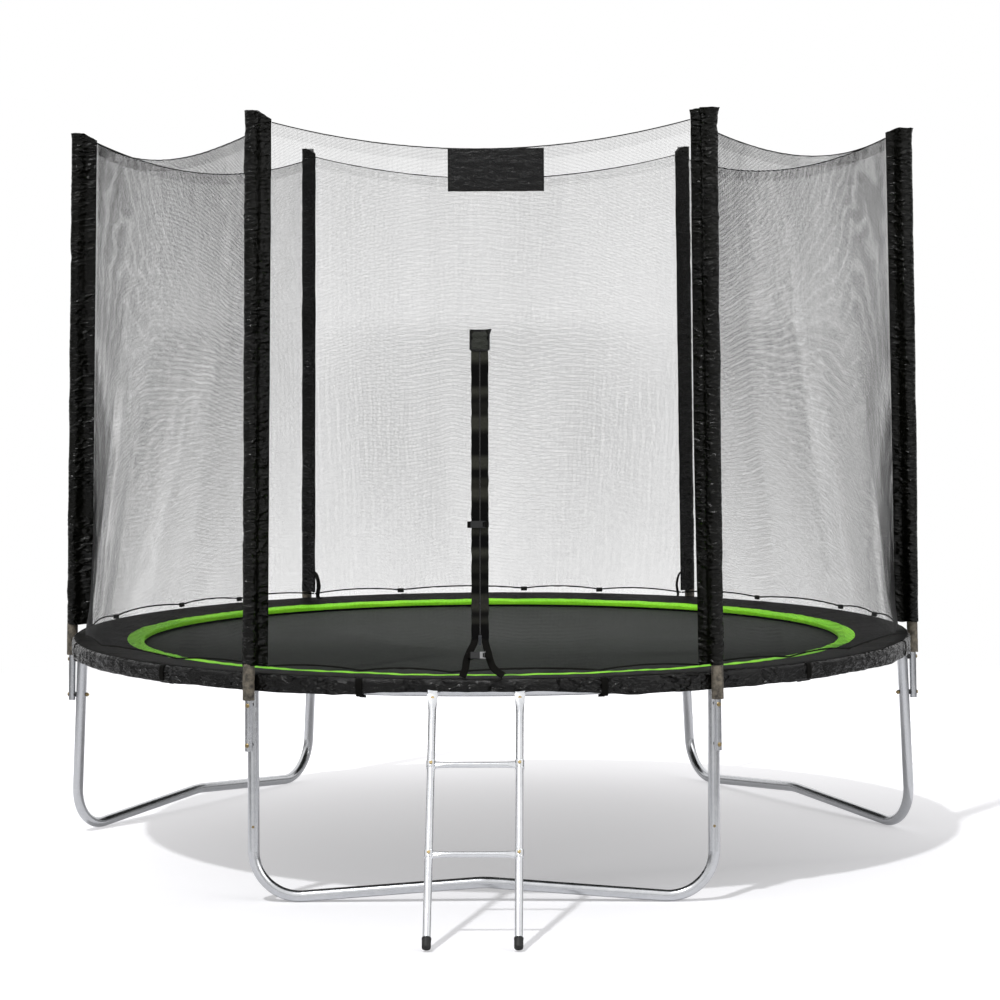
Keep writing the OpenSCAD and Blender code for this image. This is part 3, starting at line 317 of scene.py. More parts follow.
PLASTIC = moulded("black_plastic", 12, 0.34)
BUCKLE = moulded("buckle_plastic", 26, 0.24)
# The lower plug gets a pale copy of the buckle plastic: a painted highlight where the light catches it.
BUCKLE_PAINTED_HIGHLIGHT = moulded("buckle_plastic_painted_highlight", 132, 0.18)
RUBBER = moulded("black_rubber", 20, 0.50)
COIL_PLASTIC = moulded("zip_coil", 24, 0.20)
FOAM = foam_skin()


# %% [markdown]
# The net sleeves are thin black film, tape-woven and coated. It crinkles rather than folds: sharp little
# facets a centimetre or two wide, each of which catches the light or doesn't. Ridged noise gives such
# facets; the larger creases are in the mesh itself.

# %% Coated film, vinyl and webbing
def coated_film(name, tone, crinkle, gloss):
    """Glossy black film with sharp crinkles, crinkle metres apart."""
    p = Paint(name)
    warp = p.rough(p.place(), crinkle * 3, 2.0)
    bent = p.node("VectorMath", {"operation": "ADD"}, {0: p.place(), 1: p.scaled(warp, 0.02, 0.02, 0.05)})
    flat = p.scaled(bent, 1.0, 1.0, 1.7)
    facet = p.node("TexVoronoi", {"feature": "SMOOTH_F1"}, {"Vector": flat, "Scale": 1 / crinkle})
    fine = p.rough(p.scaled(p.place(), 1, 1, 2.2), crinkle * 0.4, 3.0, 0.6)
    weave = p.node("TexWave", {"bands_direction": "Z"}, {"Vector": p.place(), "Scale": 110.0})
    dust = p.rough(p.place(), 0.3, 3.0)
    dark, light = (tone,) * 3, (tone + 12, tone + 12, tone + 7)
    height = facet * 0.9 + fine * 0.35 + weave * 0.015 + creased(p, 0.35) * 1.1
    return p.skin(dust, dark, light, gloss + fine * 0.12, height, crinkle * 0.26, shine=0.17)


def creased(p, across):
    """Ridges where film is rucked up, in patches; across is below 1 for ridges that lie level."""
    level = p.scaled(p.place(), across, across, 1.0)
    line = p.rough(level, 0.026, 1.0, 0.5)
    ridge = p.ramp(line, (0.38, 0.0), (0.50, 1.0), (0.62, 0.0))
    patch = p.ramp(p.rough(p.place(), 0.14, 2.0), (0.40, 0.0), (0.52, 1.0))
    return ridge * patch


def webbing(name, tone, rib):
    """Woven strap: ribs across its length, a fine diagonal weave in each."""
    p = Paint(name)
    along = p.cloth_place()
    ribs = p.node("TexWave", {"bands_direction": "Y"}, {"Vector": along, "Scale": 0.31 / rib})
    twill = p.node("TexWave", {"bands_direction": "DIAGONAL"}, {"Vector": along, "Scale": 0.5 / rib})
    fuzz = p.rough(p.place(), 0.0012, 2.0)
    wear = p.rough(p.place(), 0.05, 3.0)
    share = (ribs * 0.4 + wear * 0.6).clipped()
    dark, light = (tone,) * 3, (tone + 16, tone + 15, tone + 12)
    height = ribs * 0.7 + twill * 0.25 + fuzz * 0.2
    return p.skin(share, dark, light, 0.55 + fuzz * 0.25, height, 0.0004, shine=0.06)


def puckered_tape(name, crease):
    """The zip's tape: woven ribs, and a greyer skin where the tape stands up between creases, partly rubbed
    wear and partly painted sheen.
    """
    p = Paint(name)
    along = p.cloth_place()
    ribs = p.node("TexWave", {"bands_direction": "X"}, {"Vector": along, "Scale": 140.0})
    fuzz = p.rough(p.place(), 0.0012, 2.0)
    runs = p.rough(p.scaled(along, 0.0, 1.0, 0.0), crease, 1.0)
    # Grey runs along the tape: partly rubbed wear, partly a painted sheen on the raised stretches.
    rubbed_and_sheen = p.ramp(runs, (0.47, 0.0), (0.60, 1.0)) * (0.4 + 0.8 * p.rough(along, 0.008, 3.0))
    rough, height = 0.50 + fuzz * 0.25, ribs * 0.5 + fuzz * 0.3
    return p.skin(rubbed_and_sheen.clipped(), (4, 4, 4), (52, 52, 46), rough, height, 0.0004, shine=0.06)


def bound_cloth(name, width, height, border, middle, rim, gloss):
    """Cloth of a size with a bound and stitched rim, border metres wide."""
    p = Paint(name)
    along = p.cloth_place()
    across = (along.part(0) - width / 2).math("ABSOLUTE") * -1.0 + width / 2
    rise = (along.part(1) - height / 2).math("ABSOLUTE") * -1.0 + height / 2
    inset = across.math("MINIMUM", rise)
    binding = inset < border
    stitch_line = ((inset - border * 1.25).math("ABSOLUTE") < 0.0008)
    dash = ((along.part(0) + along.part(1)) / 0.0045).math("FRACT") > 0.3
    crinkle = p.rough(p.scaled(along, 1.0, 2.2, 1.0), 0.03, 4.0, 0.6)
    fine = p.rough(along, 0.002, 2.0)
    tone = p.mixed(binding, colour(*middle), colour(*rim))
    return p.surface(
        Base_Color=p.mixed(stitch_line * dash, tone, colour(40, 40, 38)),
        Roughness=gloss + crinkle * 0.2,
        Specular_IOR_Level=0.25,
        Normal=p.bump(crinkle + fine * 0.05 - stitch_line * dash * 0.1 + binding * 0.1, 0.008),
    )


SLEEVE = coated_film("sleeve_film", 1, 0.020, 0.14)
PATCH = bound_cloth("patch_film", 0.313, 0.140, 0.007, (9, 9, 9), (3, 3, 3), 0.18)
HEAD_PATCH = bound_cloth("head_patch_cloth", 0.066, 0.072, 0.0065, (34, 36, 30), (3, 3, 3), 0.45)
WEBBING = webbing("webbing", 2, 0.0022)
HEM = webbing("hem_webbing", 10, 0.0018)
TAPE = puckered_tape("zip_tape_cloth", 0.075)
print("materials so far:", len(bpy.data.materials))

# %% [markdown]
# The plan of the trampoline repeats in sixths. The same few sums that place its tubes also place the
# fabric: the net is stretched between seams that lean with the poles, and bulges outwards where it is
# tied down to the ring. Everything here is in metres, from the same driving sizes as the frame.

# %% Sizes shared with the frame
MM = 0.001
RING_R = 1.506
RAIL_R = 0.019
RAIL_Z = 0.713
LEG_LEAN = math.radians(3.5)
BOLT_MID_Z = 0.5825
POLE_REACH = 0.038
POLE_TURN = 17
POLE_TOP_Z = 2.575
POLE_TOP_R = 1.5
FOAM_FOOT_Z = 0.665
FOAM_R = 0.0185
SLEEVE_FOOT_Z = 0.777
NET_FOOT_Z = 0.768
NET_TOP_Z = 2.545
NET_W = 1.55
NET_H = 1.777
NET_SAG = 0.090
ZIP_FOOT_Z = 0.870
ZIP_HEAD_Z = 1.866
ZIP_X = -0.005
ZIP_LEAN = math.radians(10.1182)
APRON_LEAN = math.radians(22.3456)
POSTS = range(6)


def cos_sin(angle):
    """Cosine and sine of an angle in degrees."""
    return math.cos(math.radians(angle)), math.sin(math.radians(angle))


def way(angle):
    """Unit vector in plan, at an angle in degrees."""
    return Vector((*cos_sin(angle), 0))


def beside(direction):
    """The direction a quarter turn to the left, in plan."""
    return Vector((-direction.y, direction.x, 0))


def up(z):
    return Vector((0, 0, z))


def lerp(a, b, share):
    return a + (b - a) * share


def within(value):
    """The value kept from 0 to 1."""
    return max(0.0, min(1.0, value))


def along_steps(value, steps):
    """A value read off a list of (place, value) steps, straight between them."""
    for (a, first), (b, second) in zip(steps, steps[1:]):
        if value <= b:
            return lerp(first, second, max(0.0, (value - a) / (b - a)))
    return steps[-1][1]


def pole_middle(i):
    side = -1 if i % 2 == 0 else 1
    turn = 60 * i + (30 if i % 2 == 0 else -30)
    spread = (RAIL_Z - BOLT_MID_Z) * math.tan(LEG_LEAN)
    return RING_R * way(60 * i) + spread * way(turn) + POLE_REACH * way(turn + side * POLE_TURN)


POLE_MID_R = pole_middle(0).length
POLE_SLOPE = (POLE_MID_R - POLE_TOP_R) / (POLE_TOP_Z - BOLT_MID_Z)


def pole_way(i):
    """Unit vector in plan from the middle to pole i."""
    return pole_middle(i % 6).normalized()


def pole_r(z):
    return POLE_MID_R - (z - BOLT_MID_Z) * POLE_SLOPE


def pole_at(i, z):
    """The axis of pole i at height z."""
    return pole_r(z) * pole_way(i) + up(z)


# %% How each sleeve hangs on its pole
FILM = {
    # pole: (height, reach outside the pole's axis, reach of the flap inwards), in metres and millimetres
    0: [(0.78, 24, 62), (1.5, 33, 58), (2.58, 40, 56)],
    1: [(0.78, 21, 70), (2.58, 23, 68)],
    2: [(0.78, 21, 70), (2.58, 23, 66)],
    3: [(0.78, 21, 73), (1.5, 22, 71), (2.58, 24, 69)],
    4: [(0.78, 20, 72), (2.58, 20, 76)],
    5: [(0.78, 22, 70), (1.5, 24, 76), (2.58, 31, 70)],
}
FLAP_TURN = {4: -24, 5: 26}


def film_reach(i, z, side):
    """Reach of the film at a height: side 1 outside the pole, side 2 for the flap."""
    return along_steps(z, [(row[0], row[side] * MM) for row in FILM[i % 6]])


def flap_way(i, share=1.0):
    """Unit vector in plan from pole i along its flap, which the net may pull round."""
    inward = pole_way(i) * -1
    return Matrix.Rotation(math.radians(FLAP_TURN.get(i % 6, 0) * share), 3, "Z") @ inward


def seam_at(i, z):
    """The seam between the flap of pole i and the net, at height z."""
    return pole_at(i, z) + flap_way(i) * film_reach(i, z, 2)


# %% The middle line of a panel
NET_MIDDLE = [
    # height, distance from the middle of the trampoline
    (NET_FOOT_Z, 1.497), (ZIP_FOOT_Z, 1.45507), (ZIP_HEAD_Z, 1.27733), (NET_TOP_Z, 1.2454),
]
MIDDLE_EASE = 0.03


def middle_r(z):
    """Distance of a panel's middle line from the middle, with its bends eased."""
    reads = [along_steps(z + step * MIDDLE_EASE, NET_MIDDLE) for step in (-1, 0, 0, 1)]
    return sum(reads) / len(reads)


def net_point(j, s, z):
    """The place on panel j at s, from -1 at one pole to 1 at the next, and height z."""
    a, b = seam_at(j, z), seam_at(j + 1, z)
    middle = middle_r(z) * way(60 * (j + 0.5)) + up(z)
    return (a + b) / 2 + s * (b - a) / 2 + (1 - s * s) * (middle - (a + b) / 2)


def net_edge(s):
    """Height of the net's top edge at s."""
    return NET_TOP_Z - NET_SAG * (1 - s * s)


print("pole circle:", round(POLE_MID_R, 4), "m")
print("front net edge:", [round(x, 3) for x in net_point(4, 0, NET_TOP_Z)])

# %% [markdown]
# Nearly all the fabric here starts as one grid, which is then laid in place row by row. Where the cloth
# goes round something, the grid's two sides meet and are merged. The grid's own flat coordinates are
# kept, in metres, as a UV map, so that a weave runs with the cloth and not through space.

# %% Grids laid as cloth
def laid_grid(columns, rows, place, size, joined=False):
    """A grid with point (u, v) at place(u, v), both from 0 to 1, and UVs for a cloth of that size."""
    bm = bmesh.new()
    half = 0.5
    bmesh.ops.create_grid(bm, x_segments=columns, y_segments=rows, size=half)
    layer = bm.loops.layers.uv.new(CLOTH_MAP)
    for face in bm.faces:
        for loop in face.loops:
            at = loop.vert.co
            loop[layer].uv = ((at.x + half) * size[0], (at.y + half) * size[1])
    for vert in bm.verts:
        vert.co = place(vert.co.x + half, vert.co.y + half)
    if joined:
        bmesh.ops.remove_doubles(bm, verts=bm.verts, dist=1e-6)
    return bm


def wavy(x, y=0.0, z=0.0):
    """Smooth noise from about -1 to 1 at a point whose parts are already scaled."""
    return noise.noise(Vector((x, y, z)))


def add_piece(bm, name, material, body="frame", slot=None, sharp=40, thick=0, offset=0.0, instead=None):
    """Makes an object of a bmesh, smooth but for sharp edges, on its body, perhaps instead of a node."""
    bmesh.ops.recalc_face_normals(bm, faces=bm.faces)
    mesh = bpy.data.meshes.new(name)
    bm.to_mesh(mesh)
    bm.free()
    mesh.polygons.foreach_set("use_smooth", [True] * len(mesh.polygons))
    mesh.set_sharp_from_angle(angle=math.radians(sharp))
    mesh.materials.append(material)
    piece = bpy.data.objects.new(name, mesh)
    bpy.context.scene.collection.objects.link(piece)
    if body:
        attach(piece, body)
    if thick:
        solid = piece.modifiers.new("thickness", "SOLIDIFY")
        solid.thickness, solid.offset = thick, offset
    if instead:
        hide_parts(instead)
    return piece


# %% [markdown]
# Netting is knitted from thin black yarn, with a yarn every four to five millimetres. From a few metres
# the eye sees a grey veil: single where one wall is in view, darker where two overlap, and darkest where
# a wall is seen nearly edge on. The holes are cut by the Alpha of the material, and each panel is a thin
# shell, so a slanting look passes two layers of yarn that no longer line up.

# %% Netting
HOLE = 0.0047
YARN_UPRIGHT = 0.046
YARN_LEVEL = 0.066
YARN_WANDER = 0.006
DRIFT_SIZE = 0.12
FOLD_SIZE = 0.20
FINE_SIZE = 0.012
GATHER_FADE = 1.35
NET_THICKNESS = 0.0024
FOLDED_TOP = 0.040


def netting(name, least, rise, gather):
    """Netting that lies denser towards its top by rise, and at the foot of its outer seam by gather."""
    p = Paint(name)
    flat = p.cloth_place()
    drift = p.rough(flat, DRIFT_SIZE, 2.0)
    height = flat.part(1) / NET_H
    outer = (1 - flat.part(0) / NET_W).clipped() ** 3.0
    folded = flat.part(1) > NET_H - FOLDED_TOP
    folds = p.rough(p.scaled(flat, 1, 0.30, 1), FOLD_SIZE, 3.0)
    fine = p.rough(p.scaled(flat, 0.5, 1, 1), FINE_SIZE, 2.0)
    gathered = outer * (1 - height * GATHER_FADE).clipped() * gather
    dense = folds * 0.35 + fine * 0.25 + folded * 0.8 + height * rise + gathered + least

    def yarns(axis, share):
        """1 on the yarns that cross an axis, which wander a little and lie closer in places."""
        phase = (flat.part(axis) + drift * YARN_WANDER) / HOLE
        return phase.math("FRACT") < dense * share

    upright = yarns(0, YARN_UPRIGHT)
    level = yarns(1, YARN_LEVEL)
    return p.surface(
        Base_Color=p.mixed(drift, colour(6, 6, 7), colour(16, 16, 17)),
        Roughness=0.5 + drift * 0.2,
        Specular_IOR_Level=0.2,
        Alpha=upright.either(level),
    )


TAUT_NET = netting("netting_taut", 0.08, 0.88, 0.0)
FULL_NET = netting("netting_full", 0.90, 1.35, 8.0)
FULL_PANELS = (3, 5)
FLIPPED_PANELS = (2, 5)


LONG_SLACK = 7.0 * MM
SHORT_SLACK = 1.6 * MM
SLACK_EASE = 0.15


def net_wave(j, s, z):
    """Small slack of the netting, which dies out at its seams and edges."""
    free = (1 - s * s) * min(1.0, (z - NET_FOOT_Z) / SLACK_EASE)
    long = wavy(s * 2.6 + 7 * j, z * 0.9, 0.3) * LONG_SLACK
    short = wavy(s * 9.0 + 3 * j, z * 2.2, 4.1) * SHORT_SLACK
    return free * (long + short)


# %% Six panels of netting
PANEL_COLUMNS = 60
PANEL_ROWS = 70
SEAM_GAP = 0.0015
SEAM_TRIM = 1 - 2 * SEAM_GAP / RING_R
FOOT_HEM = 0.005
TOP_HEM = 0.0036


def panel_point(j, s, z):
    """The place on panel j with the slack of its netting."""
    return net_point(j, s, z) + net_wave(j, s, z) * way(60 * (j + 0.5))


CLIPS_AT = (-0.556, -0.14, 0.54)
FOOT_ARCH = 0.011


def net_foot(s):
    """Height of the net's lower edge, which is held down at its clips and arches between them."""
    stops = (-1.0, *CLIPS_AT, 1.0)
    for a, b in zip(stops, stops[1:]):
        if s <= b:
            share = (s - a) / (b - a)
            return NET_FOOT_Z + FOOT_ARCH * max(0.0, 4 * share * (1 - share))
    return NET_FOOT_Z


def net_layer(j, name, thick=0):
    """One layer of netting between two sleeves."""
    def place(u, v):
        s = (2 * u - 1) * SEAM_TRIM * (-1 if j in FLIPPED_PANELS else 1)
        z = lerp(net_foot(s) + FOOT_HEM, net_edge(s) - TOP_HEM, v)
        return panel_point(j, s, z)

    bm = laid_grid(PANEL_COLUMNS, PANEL_ROWS, place, (NET_W, NET_H))
    return add_piece(bm, name, FULL_NET if j in FULL_PANELS else TAUT_NET, slot="netting", thick=thick)


panels = [net_layer(j, f"net_panel_{j + 1}", NET_THICKNESS) for j in POSTS]
cores = [net_layer(j, f"net_core_{j + 1}") for j in POSTS]
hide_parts("net_panels")
print("net panels:", len(panels), "each", NET_W, "by", NET_H, "m")

# %% [markdown]
# A webbing tape binds the top and the bottom of each panel. On top it hangs in a shallow curve between
# the poles. Both are narrow grids that follow the panel's own surface a millimetre proud on both sides.

# %% Hems
HEM_COLUMNS = 120
HEM_THICKNESS = 0.0022
TOP_RUFFLE = 1.2 * MM
FOOT_RUFFLE = 2.0 * MM
HALFWAY_Z = 1.6
HEM_LENGTH = (seam_at(1, HALFWAY_Z) - seam_at(2, HALFWAY_Z)).length


def hem(j, top):
    """The tape on the top or the bottom edge of panel j."""
    def place(u, v):
        s = (2 * u - 1) * SEAM_TRIM
        ruffle = wavy(s * 26, 5 * j + (9 if top else 0)) * (1 - s * s)
        if top:
            z = net_edge(s) - TOP_HEM + v * TOP_HEM + ruffle * TOP_RUFFLE
        else:
            z = net_foot(s) + v * FOOT_HEM + ruffle * FOOT_RUFFLE * (1 - v)
        return panel_point(j, s, z)

    name = f"top_hem_{j + 1}" if top else f"foot_hem_{j + 1}"
    bm = laid_grid(HEM_COLUMNS, 3, place, (HEM_LENGTH, TOP_HEM))
    return add_piece(bm, name, HEM, slot="webbing", thick=HEM_THICKNESS)


hems = [hem(j, top) for j in POSTS for top in (True, False)]
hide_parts("net_hems")
for j in POSTS:
    edges = hems[2 * j:2 * j + 2]
    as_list(edges)
print("hems:", len(hems))

# %% [markdown]
# Small fittings repeat round the trampoline. Each is made once or a few times as its own small mesh, and
# the meshes are gathered into one piece, which keeps the list of objects short.

# %% Gathering small meshes
def together(parts):
    """One bmesh out of several."""
    whole = bmesh.new()
    for part in parts:
        mesh = bpy.data.meshes.new("part")
        part.to_mesh(mesh)
        part.free()
        whole.from_mesh(mesh)
        bpy.data.meshes.remove(mesh)
    return whole


def block(size, bevel, to_place):
    """A box with rounded edges, its points moved by a function."""
    bm = bmesh.new()
    bmesh.ops.create_cube(bm, size=1.0)
    bmesh.ops.scale(bm, vec=size, verts=bm.verts)
    bmesh.ops.bevel(
        bm, geom=bm.edges[:], offset=bevel, affect="EDGES", segments=2, profile=0.5, material=-1,
    )
    for vert in bm.verts:
        vert.co = to_place(vert.co)
    return bm


# %% Clips on the net's foot
CLIP_SIZE = (0.026, 0.010, 0.017)


def clip(j, s):
    """One plastic clip on the lower edge of panel j."""
    at = panel_point(j, s, net_foot(s) + 1 * MM)
    out = way(60 * (j + 0.5))
    return block(CLIP_SIZE, 2.5 * MM, lambda co: at + beside(out) * co.x + out * co.y + up(co.z))


back_clips = [clip(j, s) for j in (0, 1, 2) for s in CLIPS_AT]
add_piece(together(back_clips), "net_clips", PLASTIC, slot="black_plastic")
print("clips:", len(back_clips))

# %% [markdown]
# At the two back poles the net's corners are tied to the foot of the pole by a loose strap of webbing.
# It leaves the sleeve's flap, bulges inwards and ends under the pad.

# %% Corner straps
CORNER_PATH = [
    # inset from the pole's axis in mm, height in mm
    (62, 858), (84, 848), (100, 828), (107, 803), (101, 779), (98, 764), (106, 757), (128, 755),
]
CORNER_STRAP_W = 14.0
STRAPPED = (1, 2)


def smooth_path(points, share):
    """A place on a smooth curve through a row of points, share from 0 to 1 along them."""
    spot = share * (len(points) - 1)
    k = min(int(spot), len(points) - 2)
    t = spot - k
    near = [points[max(0, min(len(points) - 1, k + step))] for step in (-1, 0, 1, 2)]
    weights = (
        (-t + 2 * t * t - t ** 3) / 2, (2 - 5 * t * t + 3 * t ** 3) / 2,
        (t + 4 * t * t - 3 * t ** 3) / 2, (-t * t + t ** 3) / 2,
    )
    return [sum(w * point[axis] for w, point in zip(weights, near)) for axis in range(len(points[0]))]


def ribbon(path, to_place, width, length, columns, rows):
    """A strap of a width in mm along a path: to_place gets a spot on it, the distance across, and v."""
    def place(u, v):
        return to_place(smooth_path(path, v), (u - 0.5) * width, v)

    return laid_grid(columns, rows, place, (width * MM, length))


def corner_strap(i):
    """The strap at the foot of pole i."""
    inward = flap_way(i)

    def to_place(spot, across, v):
        inset, z = spot
        twist = 0.5 + 0.5 * wavy(v * 3, i * 7)
        turned = inward * (inset + across * twist) + beside(inward) * across + up(across * 0.3)
        return pole_at(i, z * MM) + turned * MM

    return ribbon(CORNER_PATH, to_place, CORNER_STRAP_W, 0.16, 4, 40)


strips = together([corner_strap(i) for i in STRAPPED])
add_piece(strips, "corner_straps", WEBBING, slot="webbing", thick=1.6 * MM)
print("corner straps:", len(STRAPPED))

# %% [markdown]
# The patch on the front wall is a plain piece of glossy film with a bound rim, sewn on along its edge.
# Sewing draws it in, so its surface is lightly pillowed and catches a band of light along its top.

# %% Patch
PATCH_W = 0.313
PATCH_H = 0.140
PATCH_X = 0.050
PATCH_FOOT_Z = 2.315


def patch_point(u, v):
    """The place on the patch, u across and v up."""
    x = PATCH_X + (u - 0.5) * PATCH_W
    z = PATCH_FOOT_Z + v * PATCH_H + 0.8 * MM * wavy(u * 9, v * 3)
    free = min(1.0, 10 * min(u, 1 - u, v, 1 - v))
    pillow = 2.0 * MM * free * (0.4 + math.sin(math.pi * v)) + free * 1.6 * MM * wavy(u * 6, v * 9, 3)
    fold = 1.6 * MM * math.exp(-((v - 0.66) / 0.05) ** 2) * free
    return Vector((x, -middle_r(z) - 2.1 * MM - pillow - fold, z))


bm = laid_grid(80, 44, patch_point, (PATCH_W, PATCH_H))
patch = add_piece(bm, "patch_cloth", PATCH, slot="patch_vinyl", thick=1.0 * MM, instead="label_patch")
print("patch:", PATCH_W, "by", PATCH_H, "m")

# %% [markdown]
# The entrance is a zip that leans with the net. Its tape is sewn to a slack net, so it puckers: stretches
# of it stand up and their grey is partly rubbed wear and partly painted sheen, while the creases between
# them stay black. The middle stays flat, because the slider has to run over the coil from end to end.

# %% Places on the entrance
ZIP_W = 0.055
ZIP_LEN = 1.01174
ZIP_MID_R = 1.45507


def at_strip(x, out, rise, lean=ZIP_LEAN):
    """A place at x across, out in front of the net, and rise up the strip from the zip's foot, in mm."""
    forward = Vector((0, -math.cos(lean), math.sin(lean)))
    along = Vector((0, math.sin(lean), math.cos(lean)))
    foot = Vector((ZIP_X, -ZIP_MID_R, ZIP_FOOT_Z))
    return foot + Vector((x * MM, 0, 0)) + forward * (out * MM) + along * (rise * MM)


# %% Tape of the zip
# all in mm
TAPE_FLAT = 9.0
TAPE_OUT = 1.7
PUCKER = 3.0
PUCKER_STEP = 15.5


def tape_point(u, v):
    """The place on the tape, with its puckers beside the flat middle."""
    x = (u - 0.5) * ZIP_W / MM
    rise = v * ZIP_LEN / MM
    side = max(0.0, (abs(x) - TAPE_FLAT) / (ZIP_W / MM / 2 - TAPE_FLAT))
    swell = 0.5 + 0.5 * math.sin(rise / PUCKER_STEP + 1.3 * wavy(rise / 60, 2.0))
    out = TAPE_OUT + side * (1.0 + PUCKER * swell) + side * 1.2 * wavy(rise / 9, x / 12)
    edge = 1 + 0.05 * side * (wavy(rise / 28, 5.0 if x > 0 else 9.0) + swell * 0.4)
    return at_strip(x * edge, out, rise)


bm = laid_grid(24, 300, tape_point, (ZIP_W, ZIP_LEN))
tape = add_piece(bm, "zip_tape_cloth", TAPE, slot="webbing", thick=1.5 * MM, instead="zip_tape")

# %% Coil of the zip
COIL_PITCH = 2.6
COIL_W = 5.0
COIL_FOOT_OUT = 2.45
COIL_RISE = 1.45


def coil_point(u, v):
    """The place on the coil: a rounded bead in section, ribbed along its length."""
    angle = math.pi * u
    rise = v * ZIP_LEN / MM
    rib = 0.5 + 0.5 * math.cos(math.tau * rise / COIL_PITCH)
    half = COIL_W / 2 * (0.86 + 0.14 * rib)
    out = COIL_FOOT_OUT + COIL_RISE * math.sin(angle) * (0.72 + 0.28 * rib)
    return at_strip(-half * math.cos(angle), out, rise)


coil_rows = int(ZIP_LEN / MM / COIL_PITCH * 4)
bm = laid_grid(5, coil_rows, coil_point, (COIL_W * MM, ZIP_LEN))
add_piece(bm, "zip_coil", COIL_PLASTIC, slot="black_plastic")
print("zip:", round(ZIP_LEN, 3), "m long,", coil_rows // 4, "ribs")

# %% Patch on the zip's head
HEAD_W = 66.0
HEAD_H = 72.0


def head_patch_point(u, v):
    """The place on the patch over the zip's head, with one fold across and a corner that sticks out."""
    x = (u - 0.5) * HEAD_W
    rise = ZIP_LEN / MM - HEAD_H + v * HEAD_H
    corner = max(0.0, u - 0.7) / 0.3 * max(0.0, v - 0.75) / 0.25
    round_off = 4.0 * max(0.0, 1 - v / 0.08) * abs(2 * u - 1) ** 4
    fold = 2.4 * math.exp(-((v - 0.60) / 0.07) ** 2) - 1.2 * math.exp(-((v - 0.72) / 0.08) ** 2)
    pillow = 1.6 * math.sin(math.pi * u) * math.sin(math.pi * min(1.0, v * 1.1))
    out = max(4.1, 4.2 + pillow - fold + 0.5 * wavy(u * 5, v * 6))
    x = x * (1 - round_off / HEAD_W) + 6.0 * corner
    return at_strip(x, out, rise + round_off + 2.0 * corner)


bm = laid_grid(28, 30, head_patch_point, (HEAD_W * MM, HEAD_H * MM))
cover = {"slot": "webbing", "thick": 1.2 * MM, "instead": "entrance_webbing"}
head_patch = add_piece(bm, "zip_head_patch", HEAD_PATCH, **cover)

# %% Straps of the entrance
FOOT_PATHS = [
    # x, distance out, rise down the apron, in mm
    [(-15, 2.4, 16), (-20, 2.6, -12), (-33, 2.8, -40), (-43, 2.9, -68), (-47, 2.8, -96), (-57, 2.6, -124)],
    [(15, 2.4, 16), (18, 2.6, -12), (26, 2.8, -42), (33, 2.9, -70), (45, 2.8, -96), (76, 2.6, -120)],
]
FOOT_STRAP_W = 23.0
BUCKLE_RISES = [(372.8, 2.5, ZIP_LEAN), (-56.2, 3.1, APRON_LEAN)]
BUCKLE_STRAP = [
    # x, distance out, in mm
    (-22, 1.4), (-31, 1.9), (-38.5, 4.5), (-40.0, 10.0), (-38.0, 14.6), (-33.5, 15.6), (-29.5, 15.4),
]
BUCKLE_STRAP_W = 20.0
BUCKLE_TAIL = [(11.3, 15.2), (13.5, 18.4), (18, 19.8), (24, 19.3), (29, 17.4)]
BUCKLE_TAIL_W = 18.0


def foot_strap(path):
    """A strap from the zip's foot down to the net's lower edge."""
    def to_place(spot, across, v):
        x, out, rise = spot
        ahead = smooth_path(path, min(1.0, v + 0.02))
        behind = smooth_path(path, max(0.0, v - 0.02))
        along = Vector((ahead[0] - behind[0], ahead[2] - behind[2])).normalized()
        curl = 0.8 * wavy(v * 5, across / FOOT_STRAP_W * 2 + 1, path[0][0])
        return at_strip(x + along.y * across, out + curl + 0.6, rise - along.x * across, APRON_LEAN)

    return ribbon(path, to_place, FOOT_STRAP_W, 0.115, 6, 40)


def buckle_strap(path, rise, base, lean, width):
    """A strap of a width that runs level, along a path of (x, distance out) points."""
    def to_place(spot, across, v):
        return at_strip(spot[0], base + spot[1], rise + across, lean)

    return ribbon(path, to_place, width, 0.04, 8, 24)


entrance = [foot_strap(path) for path in FOOT_PATHS]
entrance += [buckle_strap(BUCKLE_STRAP, *buckle, BUCKLE_STRAP_W) for buckle in BUCKLE_RISES]
add_piece(together(entrance), "entrance_straps", WEBBING, slot="webbing", thick=1.5 * MM)
for body, buckle in zip(("upper_plug", "lower_plug"), BUCKLE_RISES):
    tail = buckle_strap(BUCKLE_TAIL, *buckle, BUCKLE_TAIL_W)
    add_piece(tail, f"{body}_tail", WEBBING, body=body, slot="webbing", thick=1.3 * MM)
print("entrance straps:", len(entrance) + 2)

# %% [markdown]
# Each pole wears a foam tube and over it a sleeve of black film, sewn flat beside the foam into a flap
# that carries the net. In section the sleeve is a drop: round outside, drawn together at the stitching,
# then two layers side by side. The drop is a list of places by distance along its outline, and each row
# of the grid is that drop at another height, with folds that come and go.

# %% Sleeve outline
DROP = [
    # share of the outline, distance outwards, distance sideways, in millimetres, with a 20 mm tube
    (0.000, 20.0, 0.0), (0.060, 18.4, 9.0), (0.120, 13.6, 16.2), (0.180, 6.4, 20.6),
    (0.240, -2.0, 21.6), (0.300, -10.4, 19.4), (0.360, -17.6, 15.0), (0.430, -26.0, 9.5),
    (0.500, -34.0, 6.0), (0.620, -44.0, 4.2), (0.800, -58.0, 3.4), (0.960, -70.0, 3.0),
    (1.000, -71.5, 0.0),
]
DROP_TUBE = 0.020
DROP_FLAP = 0.0715


def drop(share, axis):
    """Distance outwards (axis 1) or sideways (axis 2) on the drop, share from 0 to 1 along it."""
    return along_steps(share, [(row[0], row[axis] * MM) for row in DROP])


